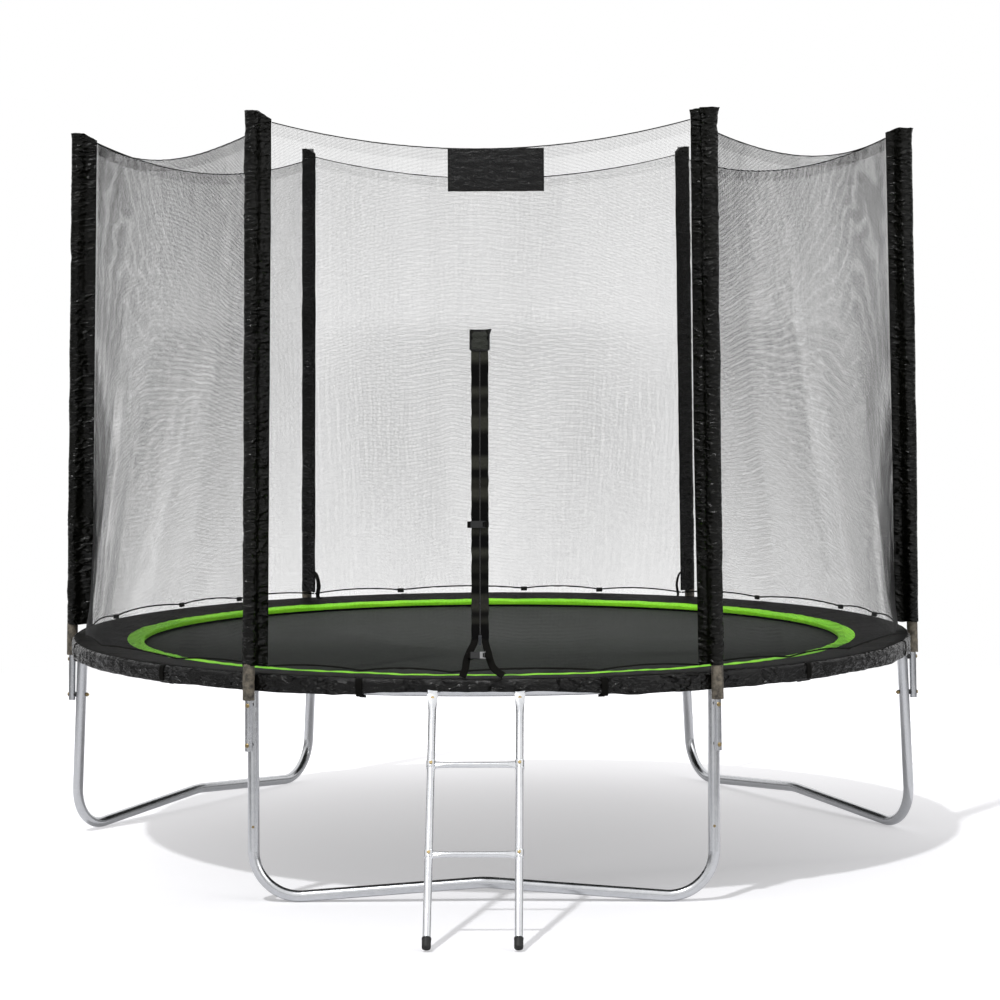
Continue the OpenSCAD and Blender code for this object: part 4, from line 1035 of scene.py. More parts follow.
# %% Folds in the sleeves
SLEEVE_TOP_Z = POLE_TOP_Z + 0.0040
SLEEVE_ROUND = 0.217
FOAM_ROUND = 0.116
SLEEVE_COLUMNS = 52
SLEEVE_ROWS = 300
CREASES = {
    # pole: (height, half width, depth in mm) of the places where the film is drawn in or bunches
    4: [(2.515, 0.012, 2.0), (2.39, 0.010, -1.4), (2.36, 0.008, 1.6), (1.95, 0.02, 1.0), (1.2, 0.02, 1.2)],
    5: [(2.525, 0.018, 2.6), (2.26, 0.010, 1.4), (2.23, 0.008, -1.2), (1.93, 0.015, 1.6), (1.1, 0.02, 1.0)],
    3: [(2.13, 0.016, 2.4), (2.3, 0.02, -1.2), (0.95, 0.010, 1.4), (0.90, 0.009, -1.2), (0.86, 0.01, 1.5)],
    0: [(2.52, 0.012, 1.6), (2.2, 0.02, 1.2), (1.6, 0.03, 1.2)],
    1: [(2.5, 0.012, 1.6), (2.1, 0.03, 1.2)],
    2: [(2.5, 0.012, 1.6), (2.0, 0.03, 1.2)],
}


EAR_DROP = {0: 0.016, 1: 0.022, 2: 0.022, 3: 0.026, 4: 0.026, 5: 0.004}
EAR_REACH = 0.05
CUFF = {0: 0.16, 1: 0.05, 2: 0.05, 3: 0.16, 4: 0.04, 5: 0.22}
CUFF_H = 0.030
RAGGED_HEM = 2.5 * MM
CRINKLE = 1.2 * MM
SLANTED_CRINKLE = 1.3 * MM
SOFT_FOLD = 1.4 * MM
FLAP_RUCK = 4.0 * MM
FLAP_BEND = 0.045
FOAM_GAP = 1.0 * MM


def sleeve_fold(i, side, out, z):
    """How far the film stands off its drop at a height: creases, crinkles and long soft folds."""
    depth = 0.0
    for height, half, mm in CREASES[i]:
        lean = (z - height + side * 0.35) / half
        depth -= mm * MM * math.exp(-lean * lean)
    crinkle = 1 - abs(wavy(side * 70, out * 50 + 5 * i, z * 62)) * 2.4
    slanted = 1 - abs(wavy(side * 40, out * 30 + 5 * i, z * 95 + side * 260)) * 2.6
    patchy = max(0.0, wavy(side * 12, 3 * i, z * 6.5) + 0.35)
    soft = wavy(side * 30 + 11 * i, out * 24, z * 9.0)
    sharp = crinkle * CRINKLE + max(0.0, slanted) * SLANTED_CRINKLE
    return depth + sharp * patchy + soft * SOFT_FOLD


def sleeve_point(i, u, v):
    """The place on the sleeve of pole i, u round the drop and v up the pole."""
    share = abs(2 * u - 1)
    side = -1 if u < 0.5 else 1
    out, across = drop(share, 1), side * drop(share, 2)
    ear = within((-out - DROP_TUBE) / EAR_REACH)
    ragged = RAGGED_HEM * wavy(out * 55, across * 90, i)
    z = lerp(SLEEVE_FOOT_Z + 0.004 * wavy(u * 6, i, 0.5), SLEEVE_TOP_Z - ear * EAR_DROP[i] + ragged, v)
    outer, flap = film_reach(i, z, 1), film_reach(i, z, 2)
    cuff = 1 + CUFF[i] * max(0.0, (z - SLEEVE_TOP_Z + CUFF_H) / CUFF_H) ** 2
    fold = sleeve_fold(i, across, out, z)
    if out > 0:
        out = (out * outer / DROP_TUBE + fold * out / DROP_TUBE) * cuff
    else:
        out = out * flap / DROP_FLAP * (1 + (cuff - 1) * 0.35)
    tube = max(0.0, 1 - ear * 2)
    across = across * lerp(1.0, (outer + DROP_TUBE) / 2 / DROP_TUBE, tube) * cuff
    across += side * (fold * (0.5 + 0.5 * tube) if share < 0.98 else 0)
    least = FOAM_R + FOAM_GAP
    if ear == 0 and math.hypot(out, across) < least:
        push = least / math.hypot(out, across)
        out, across = out * push, across * push
    ruck = FLAP_RUCK * wavy(z * 8, 7 * i, 2.0) * ear * min(1.0, (1 - share) * 8)
    turned = flap_way(i, within(-out / FLAP_BEND)) * -1
    return pole_at(i, z) + turned * out + beside(turned) * (across + ruck)


# %% Six sleeves and their foam
def sleeve(i):
    """One sleeve with its flap, closed on top over the pole's cap."""
    def place(u, v):
        return sleeve_point(i, u, v)

    cloth = (SLEEVE_ROUND, SLEEVE_TOP_Z - SLEEVE_FOOT_Z)
    bm = laid_grid(SLEEVE_COLUMNS, SLEEVE_ROWS, place, cloth, joined=True)
    rim = [edge for edge in bm.edges if edge.is_boundary and edge.verts[0].co.z > 2.4]
    bmesh.ops.holes_fill(bm, edges=rim, sides=0)
    inwards = {"thick": 0.7 * MM, "offset": -1.0}
    return add_piece(bm, f"pole_sleeve_{i + 1}", SLEEVE, slot="sleeve_vinyl", **inwards)


def foam_tube(i):
    """The foam under a sleeve, seen only below it, with a roughly cut end."""
    outward, sideways = pole_way(i), beside(pole_way(i))

    def place(u, v):
        c, s = cos_sin(360 * u)
        foot = FOAM_FOOT_Z + 0.0015 * wavy(c * 2, s * 2, i)
        z = lerp(foot, POLE_TOP_Z, v ** 2)
        lump = wavy(4 * i + 3 * c, 3 * s, z * 60)
        swollen = 2.2 * MM * within(0.4 + c) * (z < SLEEVE_FOOT_Z + 0.01)
        return pole_at(i, z) + (outward * c + sideways * s) * (FOAM_R + swollen + lump * 0.4 * MM)

    bm = laid_grid(40, 90, place, (FOAM_ROUND, POLE_TOP_Z - FOAM_FOOT_Z), joined=True)
    return add_piece(bm, f"foam_tube_{i + 1}", FOAM, slot="foam", thick=5.6 * MM, offset=-1.0)


sleeves = [sleeve(i) for i in POSTS]
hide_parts("pole_sleeves")
foams = [foam_tube(i) for i in POSTS]
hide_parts("pole_foams")
print("sleeves:", len(sleeves), "foams:", len(foams))

# %% [markdown]
# The mat is woven from flat black tape, matt and grey by use, with webbing sewn round its edge. Its
# weave is far finer than the view can show from outside, but the mat is also seen from above, so the
# tape is there: two sets of waves that take turns on top.

# %% Mat
MAT_R = 1.30845
MAT_T = 0.002
MAT_TOP_Z = RAIL_Z + MAT_T / 2
EDGE_W = 0.036
EDGE_T = 0.0016


def woven_tape(name, dark, light, tape, gloss):
    """Flat tape woven one over one, tape metres wide."""
    p = Paint(name)
    place = p.place()

    def ridges(axis):
        return ((place.part(axis) / tape).math("FRACT") - 0.5).math("ABSOLUTE") * -2.0 + 1.0

    over = ((place.part(0) / tape).math("FLOOR") + (place.part(1) / tape).math("FLOOR")).math("MODULO", 2.0)
    over = over.math("ABSOLUTE")
    height = ridges(1) * over + ridges(0) * (1 - over)
    cloud = p.rough(place, 0.35, 4.0)
    trodden = p.rough(p.scaled(place, 1.0, 3.0, 1.0), 0.06, 3.0)
    share = (height * 0.15 + cloud * 0.45 + trodden * 0.4).clipped()
    relief = height + trodden * 0.4
    return p.skin(share, dark, light, gloss + cloud * 0.15, relief, tape * 0.10, shine=0.15)


MAT_CLOTH = woven_tape("mat_weave", (28, 31, 29), (60, 63, 59), 0.0026, 0.66)


def flat_spin(profile, steps):
    """A closed ring made by spinning an outline of (distance, height) points round the middle."""
    bm = bmesh.new()
    verts = [bm.verts.new((r, 0, z)) for r, z in profile]
    edges = [bm.edges.new((a, b)) for a, b in zip(verts, verts[1:] + verts[:1])]
    turn = {"axis": (0, 0, 1), "cent": (0, 0, 0), "angle": math.tau, "steps": steps, "use_merge": True}
    bmesh.ops.spin(bm, geom=verts + edges, **turn)
    layer = bm.loops.layers.uv.new(CLOTH_MAP)
    for face in bm.faces:
        start = None
        for loop in face.loops:
            x, y, z = loop.vert.co
            angle = math.atan2(y, x)
            start = angle if start is None else start
            angle += math.tau * round((start - angle) / math.tau)
            loop[layer].uv = (angle * RING_R, math.hypot(x, y) + z)
    return bm


def mat():
    """The jumping mat: rings of quads, closed in the middle, with a hardly visible sag."""
    bm = bmesh.new()
    bmesh.ops.create_circle(bm, cap_ends=True, radius=MAT_R, segments=180)
    bmesh.ops.inset_region(bm, faces=bm.faces, thickness=EDGE_W)
    for share in (0.75, 0.5, 0.25, 0.08):
        inner = [face for face in bm.faces if len(face.verts) > 4]
        reach = inner[0].verts[0].co.length
        bmesh.ops.inset_region(bm, faces=inner, thickness=reach - MAT_R * share)
    for vert in bm.verts:
        inside = 1 - (vert.co.length / MAT_R) ** 2
        vert.co.z = MAT_TOP_Z - 4 * MM * inside
    cloth = {"body": "mat", "slot": "mat_cloth", "thick": MAT_T, "offset": -1.0, "instead": "mat"}
    return add_piece(bm, "mat_cloth", MAT_CLOTH, **cloth)


mat()
print("mat:", round(2 * MAT_R, 3), "m across")

# %% Webbing under the mat's edge
EDGE_LOW_Z = RAIL_Z - MAT_T / 2 - EDGE_T
edge_outline = [
    (MAT_R - EDGE_W, EDGE_LOW_Z), (MAT_R - EDGE_W / 2, EDGE_LOW_Z - 0.3 * MM), (MAT_R, EDGE_LOW_Z),
    (MAT_R, EDGE_LOW_Z + EDGE_T), (MAT_R - EDGE_W, EDGE_LOW_Z + EDGE_T),
]
edge = {"body": "mat", "slot": "webbing", "instead": "mat_edge"}
add_piece(flat_spin(edge_outline, 216), "mat_edge_webbing", WEBBING, **edge)

# %% [markdown]
# Fifty-four springs pull the mat tight. Each hangs with a turned-up tip in a hole of the ring tube and
# with an eye on a triangle of wire, which a loop of webbing holds on the mat. All of it is bent wire: a
# row of points with a small ring of vertices laid round each, turned only as far as the wire bends. The
# springs stretch as the mat goes down.

# %% Bent wire
SPRINGS = 54


def wire(points, radius, sides):
    """A round wire along a row of points, closed where the row ends at its start."""
    last = len(points) - 1
    closed = (points[0] - points[last]).length < 1e-6
    rings, normal = [], Vector((0.03, 0.02, 1))
    for k, point in enumerate(points):
        ahead = points[k + 1] if k < last else points[1] if closed else point
        behind = points[k - 1] if k else points[last - 1] if closed else point
        along = (ahead - behind).normalized()
        normal = (normal - along * normal.dot(along)).normalized()
        rings.append((point, normal, along.cross(normal)))
    if closed:
        rings[last] = rings[0]

    def place(u, v):
        point, first, second = rings[round(v * last)]
        return point + (first * math.cos(math.tau * u) + second * math.sin(math.tau * u)) * radius

    bm = laid_grid(sides, last, place, (math.tau * radius, 1.0), joined=True)
    bmesh.ops.holes_fill(bm, edges=[edge for edge in bm.edges if edge.is_boundary], sides=0)
    return bm


def at_spring(k, r, aside, rise):
    """A place at spring k: r from the middle, aside round the ring, rise above the rail's axis, in mm."""
    out = way(360 / SPRINGS * k)
    return out * (r * MM) + beside(out) * (aside * MM) + up(RAIL_Z + rise * MM)


# %% Springs
EYE_R = 1349.0
EYE_RING = 5.0
COIL_IN_R = 1359.0
COIL_OUT_R = 1477.0
COIL_TURNS = 29
TURN_STEPS = 8
COIL_MEAN = 7.4
TIP_R = 1492.34
SPRING_WIRE = 1.6


def spring_points(k):
    """The middle line of spring k from its eye to its tip."""
    path = []
    for angle in range(30, 361, 30):
        c, s = cos_sin(angle)
        path.append((EYE_R + EYE_RING * c, 3.0 * (360 - angle) / 330, EYE_RING * s))
    steps = COIL_TURNS * TURN_STEPS
    for step in range(steps + 1):
        turn = math.tau * step / TURN_STEPS + 0.4
        reach = COIL_MEAN * min(1.0, (step + 1) / TURN_STEPS, (steps - step + 1) / TURN_STEPS)
        r = lerp(COIL_IN_R + SPRING_WIRE, COIL_OUT_R - SPRING_WIRE, step / steps)
        path.append((r, reach * math.cos(turn), reach * math.sin(turn)))
    path += [(1481, 0, 0), (1486, 0, 0), (1490, 0, 0.3)]
    path += [(TIP_R - 0.5, 0, 2.0), (TIP_R, 0, 4.5), (TIP_R, 0, 8)]
    return [at_spring(k, *point) for point in path]


for k in range(SPRINGS):
    bm = wire(spring_points(k), SPRING_WIRE * MM, 4)
    spring = add_piece(bm, f"spring_{k + 1}", WIRE, body=None, slot="steel_wire", sharp=80)
    at_spring(k, TIP_R - 10, 0, 0)
    at_spring(k, EYE_R, 0, 0)
    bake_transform(spring)
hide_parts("springs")

# %% Wire triangles on the mat
RING_CORNERS = [(1312.55, -20.5), (1348.55, -7.5), (1348.55, 7.5), (1312.55, 20.5)]
RING_CUT = 7.0


def ring_points(k):
    """The middle line of one wire triangle, its corners rounded."""
    path = []
    for n, corner in enumerate(RING_CORNERS):
        here = Vector(corner)
        before, after = Vector(RING_CORNERS[n - 1]), Vector(RING_CORNERS[(n + 1) % 4])
        first = here + (before - here).normalized() * RING_CUT
        second = here + (after - here).normalized() * RING_CUT
        for t in (0.0, 0.25, 0.5, 0.75, 1.0):
            spot = first * (1 - t) ** 2 + here * (2 * t * (1 - t)) + second * t ** 2
            path.append(at_spring(k, spot.x, spot.y, 0))
    return path + path[:1]


rings = together([wire(ring_points(k), 2.0 * MM, 6) for k in range(SPRINGS)])
add_piece(rings, "mat_rings", WIRE, body="mat", slot="steel_wire", sharp=80, instead="v_rings")

# %% Webbing loops on the mat
LOOP_PATH = [
    # distance from the middle and height over the rail's axis, in mm
    (1281, -3.4), (1296, -3.4), (1306, -3.4), (1311, -3.2), (1315.0, -2.2), (1316.0, 0.0), (1315.0, 2.2),
    (1311, 3.1), (1306, 2.6), (1300, 2.0), (1288, 1.9),
]
LOOP_W = 30.0


def mat_loop(k):
    """The loop of webbing that holds triangle k."""
    def to_place(spot, across, v):
        return at_spring(k, spot[0], across, spot[1])

    return ribbon(LOOP_PATH, to_place, LOOP_W, 0.075, 3, 24)


loops = together([mat_loop(k) for k in range(SPRINGS)])
loop_strap = {"body": "mat", "slot": "webbing", "thick": 1.2 * MM, "instead": "mat_loops"}
add_piece(loops, "mat_loop_straps", WEBBING, **loop_strap)
print("loops and triangles:", SPRINGS)

# %% [markdown]
# The pad is a ring of thin foam in a coated cover. It lies on the ring tube outside and slopes inwards
# to the mat. It never lies flat: the cover is sewn from sectors and drawn down by its ties, so its edge
# scallops and its top is quilted by soft radial swells. One function gives the swell, and both the pad
# and the coloured band that is sewn onto it use it.

# %% Pad cover
PAD_IN_R = 1.271
PAD_OUT_R = 1.5265
PAD_TOP_Z = 0.7523
PAD_INNER_TOP_Z = 0.7365
PAD_FLAT_R = 1.487
SWELL_FROM_Z = 0.7275
SWELL_EASE = 0.006
BROAD_SWELL = 2.2 * MM
RIB_SWELL = 1.0 * MM
RIB_GROWTH = 1.6 * MM
RIB_REACH = 0.12
PAD_STEPS = 720


def vinyl(name, dark, light, gloss, crinkle=0.03, depth=0.16, shine=0.15, rucked=0.1):
    """Coated cloth for the pad: smooth skin over a fine weave, with soft crinkles."""
    p = Paint(name)
    swell = p.rough(p.scaled(p.place(), 1, 1, 1.8), crinkle, 3.0, 0.6)
    fine = p.rough(p.place(), crinkle * 0.22, 2.0)
    dust = p.rough(p.place(), 0.2, 4.0)
    weave = p.node("TexVoronoi", {}, {"Vector": p.place(), "Scale": 900.0})
    rough = gloss + dust * 0.12 + fine * 0.08
    height = swell + fine * 0.2 + weave * 0.02 + creased(p, 0.6) * rucked
    return p.skin(dust, dark, light, rough, height, crinkle * depth, shine)


PAD_VINYL = vinyl("pad_vinyl", (4, 4, 4), (20, 19, 17), 0.55, shine=0.04)
SKIRT_VINYL = vinyl("skirt_vinyl", (2, 2, 2), (10, 9, 7), 0.12, 0.034, 0.26, 0.24, 1.1)
BAND_VINYL = vinyl("band_vinyl", (112, 216, 20), (168, 246, 58), 0.50, 0.02)


def pad_swell(angle, r):
    """Height of the pad's soft swells, in metres, at an angle in degrees and a distance."""
    c, s = cos_sin(angle)
    broad = wavy(c * 9, s * 9, r * 3)
    ribs = wavy(c * 34, s * 34, r * 5 + 3)
    edge = max(0.0, 1 - (r - PAD_IN_R) / RIB_REACH)
    return broad * BROAD_SWELL + ribs * (RIB_SWELL + RIB_GROWTH * edge)


def pad_top(r):
    """Height of the pad's upper face at a distance from the middle, without its swells."""
    return along_steps(r, [(PAD_IN_R, PAD_INNER_TOP_Z), (PAD_FLAT_R, PAD_TOP_Z), (PAD_OUT_R, PAD_TOP_Z)])


def swelled(outline):
    """A ring spun from its outline, with its upper face swelled."""
    bm = flat_spin(outline, PAD_STEPS)
    for vert in bm.verts:
        x, y, z = vert.co
        upper = within((z - SWELL_FROM_Z) / SWELL_EASE)
        vert.co.z += pad_swell(math.degrees(math.atan2(y, x)), math.hypot(x, y)) * upper
    return bm


def pad_cover():
    """The cover of the pad."""
    top = [(r, pad_top(r)) for r in (1.30, 1.34, 1.38, 1.42, 1.455, 1.487, 1.503)]
    outline = [
        (1.2716, 0.7300), (1.2735, 0.7345), (1.279, 0.7372), *top,
        (1.514, 0.7512), (1.5215, 0.7475), (1.5245, 0.7420), (1.5235, 0.7362), (1.515, 0.7338),
        (1.4492, 0.7335), (1.36, 0.7290), (1.2790, 0.7178), (1.2745, 0.7156), (1.2722, 0.7180),
    ]
    return add_piece(swelled(outline), "pad_cover", PAD_VINYL, slot="pad_vinyl", instead="spring_pad")


pad_cover()
print("pad ring:", round(2 * PAD_IN_R, 3), "to", round(2 * PAD_OUT_R, 3), "m")

# %% Coloured band
BAND_W = 0.059


def pad_band():
    """The lime band over the pad's inner edge, turned under at its rim."""
    lift = 1.0 * MM
    inner = [(1.2704, 0.7242), (1.2700, 0.7300), (1.2712, 0.7358), (1.2765, 0.7390)]
    top = [(r, pad_top(r) + lift) for r in (1.29, 1.30, 1.31, 1.32, PAD_IN_R + BAND_W)]
    under = [(r, z - 0.9 * MM) for r, z in reversed(top)]
    shadow_paling = [(1.2775, 0.7378), (1.2724, 0.7352), (1.2711, 0.7300), (1.2715, 0.7242)]
    bm = swelled(inner + top + under + shadow_paling)
    return add_piece(bm, "pad_band_cloth", BAND_VINYL, slot="band_vinyl", instead="pad_band")


pad_band()

# %% [markdown]
# From the pad's outer edge a skirt hangs over the ring tube. It is a loose flap of the same vinyl with
# a hem, so its lower edge waves, lifts where nothing holds it, and is drawn in at each tie.

# %% Skirt
SKIRT_HEAD_Z = 0.7505
SKIRT_FOOT_Z = 0.692
SKIRT_LIFT_Z = 0.711
LIFT_X = 0.200
LIFT_EASE = 0.28
HOOKS_X = (-0.1555, 0.1235)
OVER_HOOK_R = 1.5375
TIE_TURN = 15
SKIRT_WAVE = 4.5 * MM
SKIRT_RUFFLE = 2.0 * MM
SKIRT_CRINKLE = 3.0 * MM
SKIRT_SHOULDER = 7.5 * MM
EDGE_RUFFLE = 1.6 * MM
SKIRT_STEPS = 1440
SKIRT_ROWS = 9


def tie_pull(angle):
    """1 at a tie strap and 0 away from it."""
    off = (angle - TIE_TURN + 15) % 30 - 15
    return math.exp(-(off / 2.2) ** 2)


def skirt_foot(angle):
    """Height of the skirt's lower edge, which lies higher in front."""
    c, s = cos_sin(angle)
    wave = wavy(c * 11, s * 11, 2.2) * SKIRT_WAVE + wavy(c * 40, s * 40, 5.2) * EDGE_RUFFLE
    base = SKIRT_FOOT_Z + 2 * MM
    if s < 0:
        base = lerp(SKIRT_LIFT_Z, base, within((abs(PAD_OUT_R * c) - LIFT_X) / LIFT_EASE))
    return base + wave * (1 - 0.8 * tie_pull(angle))


def skirt_point(u, v):
    """The place on the skirt, u round the ring and v down from the pad's shoulder."""
    angle = 360 * u
    c, s = cos_sin(angle)
    z = lerp(SKIRT_HEAD_Z, skirt_foot(angle), v)
    shoulder = SKIRT_SHOULDER * max(0.0, 1 - v * 4) ** 2
    wave = wavy(c * 24, s * 24, z * 14) * SKIRT_WAVE * v + wavy(c * 70, s * 70, z * 30) * SKIRT_RUFFLE
    crinkle = (0.5 - abs(wavy(c * 150, s * 150, z * 60))) * SKIRT_CRINKLE * (0.3 + v)
    r = PAD_OUT_R + 1.5 * MM - shoulder + (wave + crinkle) * (1 - 0.7 * tie_pull(angle))
    r = max(r, RING_R + RAIL_R + 0.4 * MM if v > 0.25 else 0)
    over_hooks = sum(math.exp(-((r * c - x) / 0.030) ** 4) for x in HOOKS_X) if s < 0 else 0.0
    return way(angle) * lerp(r, max(r, OVER_HOOK_R), over_hooks * min(1.0, v * 3)) + up(z)


bm = laid_grid(SKIRT_STEPS, SKIRT_ROWS, skirt_point, (math.tau * PAD_OUT_R, 0.06), joined=True)
skirt = add_piece(bm, "pad_skirt", SKIRT_VINYL, slot="pad_vinyl", thick=0.9 * MM)
print("skirt:", round(math.tau * PAD_OUT_R, 3), "m long")

# %% [markdown]
# Twelve straps hold the pad down. Each is sewn to the pad's shoulder, comes down over the skirt, goes
# under the ring tube and ends in a curled tail.

# %% Ties
TIE_W = 22.0
TIE_PATH = [
    # distance from the middle and height, in mm
    (1512, 752), (1522, 750), (1528.5, 744), (1531.5, 730), (1531, 712), (1529, 700), (1524, 692.5),
    (1514, 689.6), (1504, 689.0), (1497, 690.6), (1494, 692.0), (1489, 688.5), (1487, 683.5),
]


def tie(n):
    """Tie strap n."""
    out = way(TIE_TURN + 30 * n)

    def to_place(spot, across, v):
        sway = 2.5 * wavy(v * 3, n * 5)
        return (out * spot[0] + beside(out) * (across + sway) + up(spot[1])) * MM

    return ribbon(TIE_PATH, to_place, TIE_W, 0.14, 5, 44)


ties = together([tie(n) for n in range(12)])
add_piece(ties, "pad_tie_straps", WEBBING, slot="webbing", thick=1.5 * MM, instead="pad_ties")

# %% [markdown]
# The ladder's sides are tubes whose tops are pressed flat and spread, so that a bolt can hold the strap
# hook. Pressing leaves no edge, only a smooth change from round to flat, so a side is one skin laid over
# a row of ovals. The rungs are drawn the same way, lying down: their ends spread where they were crushed
# on to the collars.

# %% Places on the ladder
HINGE = Vector((0, -1.49944, RAIL_Z))
LADDER_LEAN = math.radians(41.7)
LADDER_SIDES = {"left": -155.5, "right": 123.5}
LADDER_OUT = 20.04
LADDER_LEN = 959.66
COLLARS_DOWN = {"upper": 298.0, "lower": 627.0}
UPRIGHT = Vector((0, -math.cos(LADDER_LEAN), math.sin(LADDER_LEAN)))
DOWNWARD = Vector((0, -math.sin(LADDER_LEAN), -math.cos(LADDER_LEAN)))


def on_ladder(x, out, down):
    """A place at x across, out in front of the ring's axis and down the ladder, in mm."""
    return HINGE + Vector((x * MM, 0, 0)) + UPRIGHT * (out * MM) + DOWNWARD * (down * MM)


def oval_skin(stations, to_place, rows=60, sides=24):
    """A closed skin over ovals: each station gives its place, middle, half width and half depth."""
    def place(u, v):
        spot = lerp(stations[0][0], stations[-1][0], v)
        middle, wide, deep = [along_steps(spot, [(row[0], row[n]) for row in stations]) for n in (1, 2, 3)]
        angle = math.tau * u
        return to_place(spot, wide * math.cos(angle), middle + deep * math.sin(angle))

    bm = laid_grid(sides, rows, place, (0.08, 1.0), joined=True)
    bmesh.ops.holes_fill(bm, edges=[edge for edge in bm.edges if edge.is_boundary], sides=0)
    return bm


# %% Sides of the ladder
SIDE_STATIONS = [
    # down, middle, half width, half depth
    (27, 26.6, 14.0, 0.9), (30, 26.7, 17.0, 1.3), (44, 26.6, 16.6, 1.5), (55, 25.8, 15.6, 3.0),
    (68, 23.8, 14.4, 6.0), (84, 21.8, 13.3, 9.4), (104, 20.4, 12.6, 12.0), (125, LADDER_OUT, 12.5, 12.5),
    (LADDER_LEN - 6, LADDER_OUT, 12.5, 12.5),
]



def upright_skin(stations, x, rows, down=0.0):
    """A closed skin over ovals that run down the ladder at x."""
    return oval_skin(stations, lambda spot, wide, out: on_ladder(x + wide, out, down + spot), rows=rows)


def add_ladder(bm, name, instead, sharp, material=LADDER, slot="ladder_steel", thick=0):
    """A piece that rides on the ladder."""
    add_piece(bm, name, material, "ladder", slot, sharp, thick, instead=instead)


for side, x in LADDER_SIDES.items():
    bm = upright_skin(SIDE_STATIONS, x, rows=260)
    add_ladder(bm, f"ladder_side_{side}", f"ladder_rail_{side}", sharp=60)

# %% Rungs and collars
RUNG_FROM = LADDER_SIDES["left"] + 11
RUNG_TO = LADDER_SIDES["right"] - 11
RUNG_STATIONS = [
    (RUNG_FROM, LADDER_OUT, 12.8, 5.0), (RUNG_FROM + 10, LADDER_OUT, 12.4, 5.8),
    (RUNG_FROM + 28, LADDER_OUT, 10.4, 8.0), (RUNG_FROM + 55, LADDER_OUT, 9.0, 9.0),
    (RUNG_TO - 55, LADDER_OUT, 9.0, 9.0), (RUNG_TO - 28, LADDER_OUT, 10.4, 8.0),
    (RUNG_TO - 10, LADDER_OUT, 12.4, 5.8), (RUNG_TO, LADDER_OUT, 12.8, 5.0),
]
COLLAR = [
    # down from the rung's middle, radius
    (-14.5, 13.2), (-13.8, 14.8), (-12.0, 15.3), (-10.4, 14.7),
    (10.4, 14.7), (12.0, 15.3), (13.8, 14.8), (14.5, 13.2),
]
BEADED = [(spot, LADDER_OUT, radius, radius) for spot, radius in COLLAR]


for name, down in COLLARS_DOWN.items():
    rung = oval_skin(RUNG_STATIONS, lambda spot, wide, out: on_ladder(spot, out, down + wide), rows=120)
    parts = [rung] + [upright_skin(BEADED, x, rows=29, down=down) for x in LADDER_SIDES.values()]
    add_ladder(together(parts), f"ladder_step_{name}", f"ladder_rung_{name}", sharp=50)

# %% Strap hooks
HOOK_R = 24.1
HOOK_W = 34.0
HOOK_PLATE = 52.0
HOOK_WRAP = 170


def hook_point(x, u, v):
    """The place on a strap hook: a plate below the ring tube, then the turn over it."""
    plate_share = 0.4
    narrow = 1 - 0.16 * max(0.0, 1 - v / 0.12) ** 2
    wide = (u - 0.5) * HOOK_W * narrow
    if v < plate_share:
        return on_ladder(x + wide, HOOK_R, HOOK_PLATE * (1 - v / plate_share))
    turn = math.radians(HOOK_WRAP) * (v - plate_share) / (1 - plate_share)
    return on_ladder(x + wide, HOOK_R * math.cos(turn), -HOOK_R * math.sin(turn))


hooks = together([
    laid_grid(8, 50, lambda u, v: hook_point(x, u, v), (HOOK_W * MM, 0.12))
    for x in LADDER_SIDES.values()
])
add_ladder(hooks, "ladder_strap_hooks", "ladder_hooks", sharp=40, material=POLE, thick=2.4 * MM)

# %% Rubber feet
FOOT_STATIONS = [
    (LADDER_LEN - 38, LADDER_OUT, 12.6, 12.6), (LADDER_LEN - 37, LADDER_OUT, 14.6, 14.6),
    (LADDER_LEN - 33, LADDER_OUT, 15.0, 15.0), (LADDER_LEN - 31, LADDER_OUT, 14.2, 14.2),
    (LADDER_LEN - 6, LADDER_OUT, 14.2, 14.2), (LADDER_LEN - 2, LADDER_OUT, 13.2, 13.2),
    (LADDER_LEN, LADDER_OUT, 9.5, 9.5),
]
feet = together([upright_skin(FOOT_STATIONS, x, rows=76) for x in LADDER_SIDES.values()])
add_ladder(feet, "ladder_rubber_feet", "ladder_feet", sharp=35, material=RUBBER, slot="rubber_foot")
print("ladder:", round(LADDER_LEN * MM, 3), "m long")

# %% [markdown]
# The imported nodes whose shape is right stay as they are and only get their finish. Their mesh is loose
# triangles, so smooth shading is left to the normals that they came with.

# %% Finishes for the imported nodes
FINISHES = {
    "rail_": TUBE, "leg_post_": TUBE, "leg_base_": TUBE, "leg_screws": BRASSY,
    "pole_lower_": POLE, "pole_upper_": POLE, "pole_spacers": PLASTIC, "pole_bolts": BRASSY,
    "pole_caps": PLASTIC, "zip_slider": LACQUER, "zip_pull": LACQUER, "buckle_plug_lower": BUCKLE_PAINTED_HIGHLIGHT,
    "buckle_": BUCKLE, "ladder_bolts": BRASSY,
}


def finish_nodes():
    """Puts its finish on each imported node, and says how many had one."""
    done = 0
    for name, node in frame["nodes"].items():
        found = [finish for start, finish in FINISHES.items() if name.startswith(start)]
        if found:
            node.data.materials.clear()
            node.data.materials.append(found[0])
            done += 1
    return done


print("packed nodes with a finish:", finish_nodes(), "of", len(frame["nodes"]))
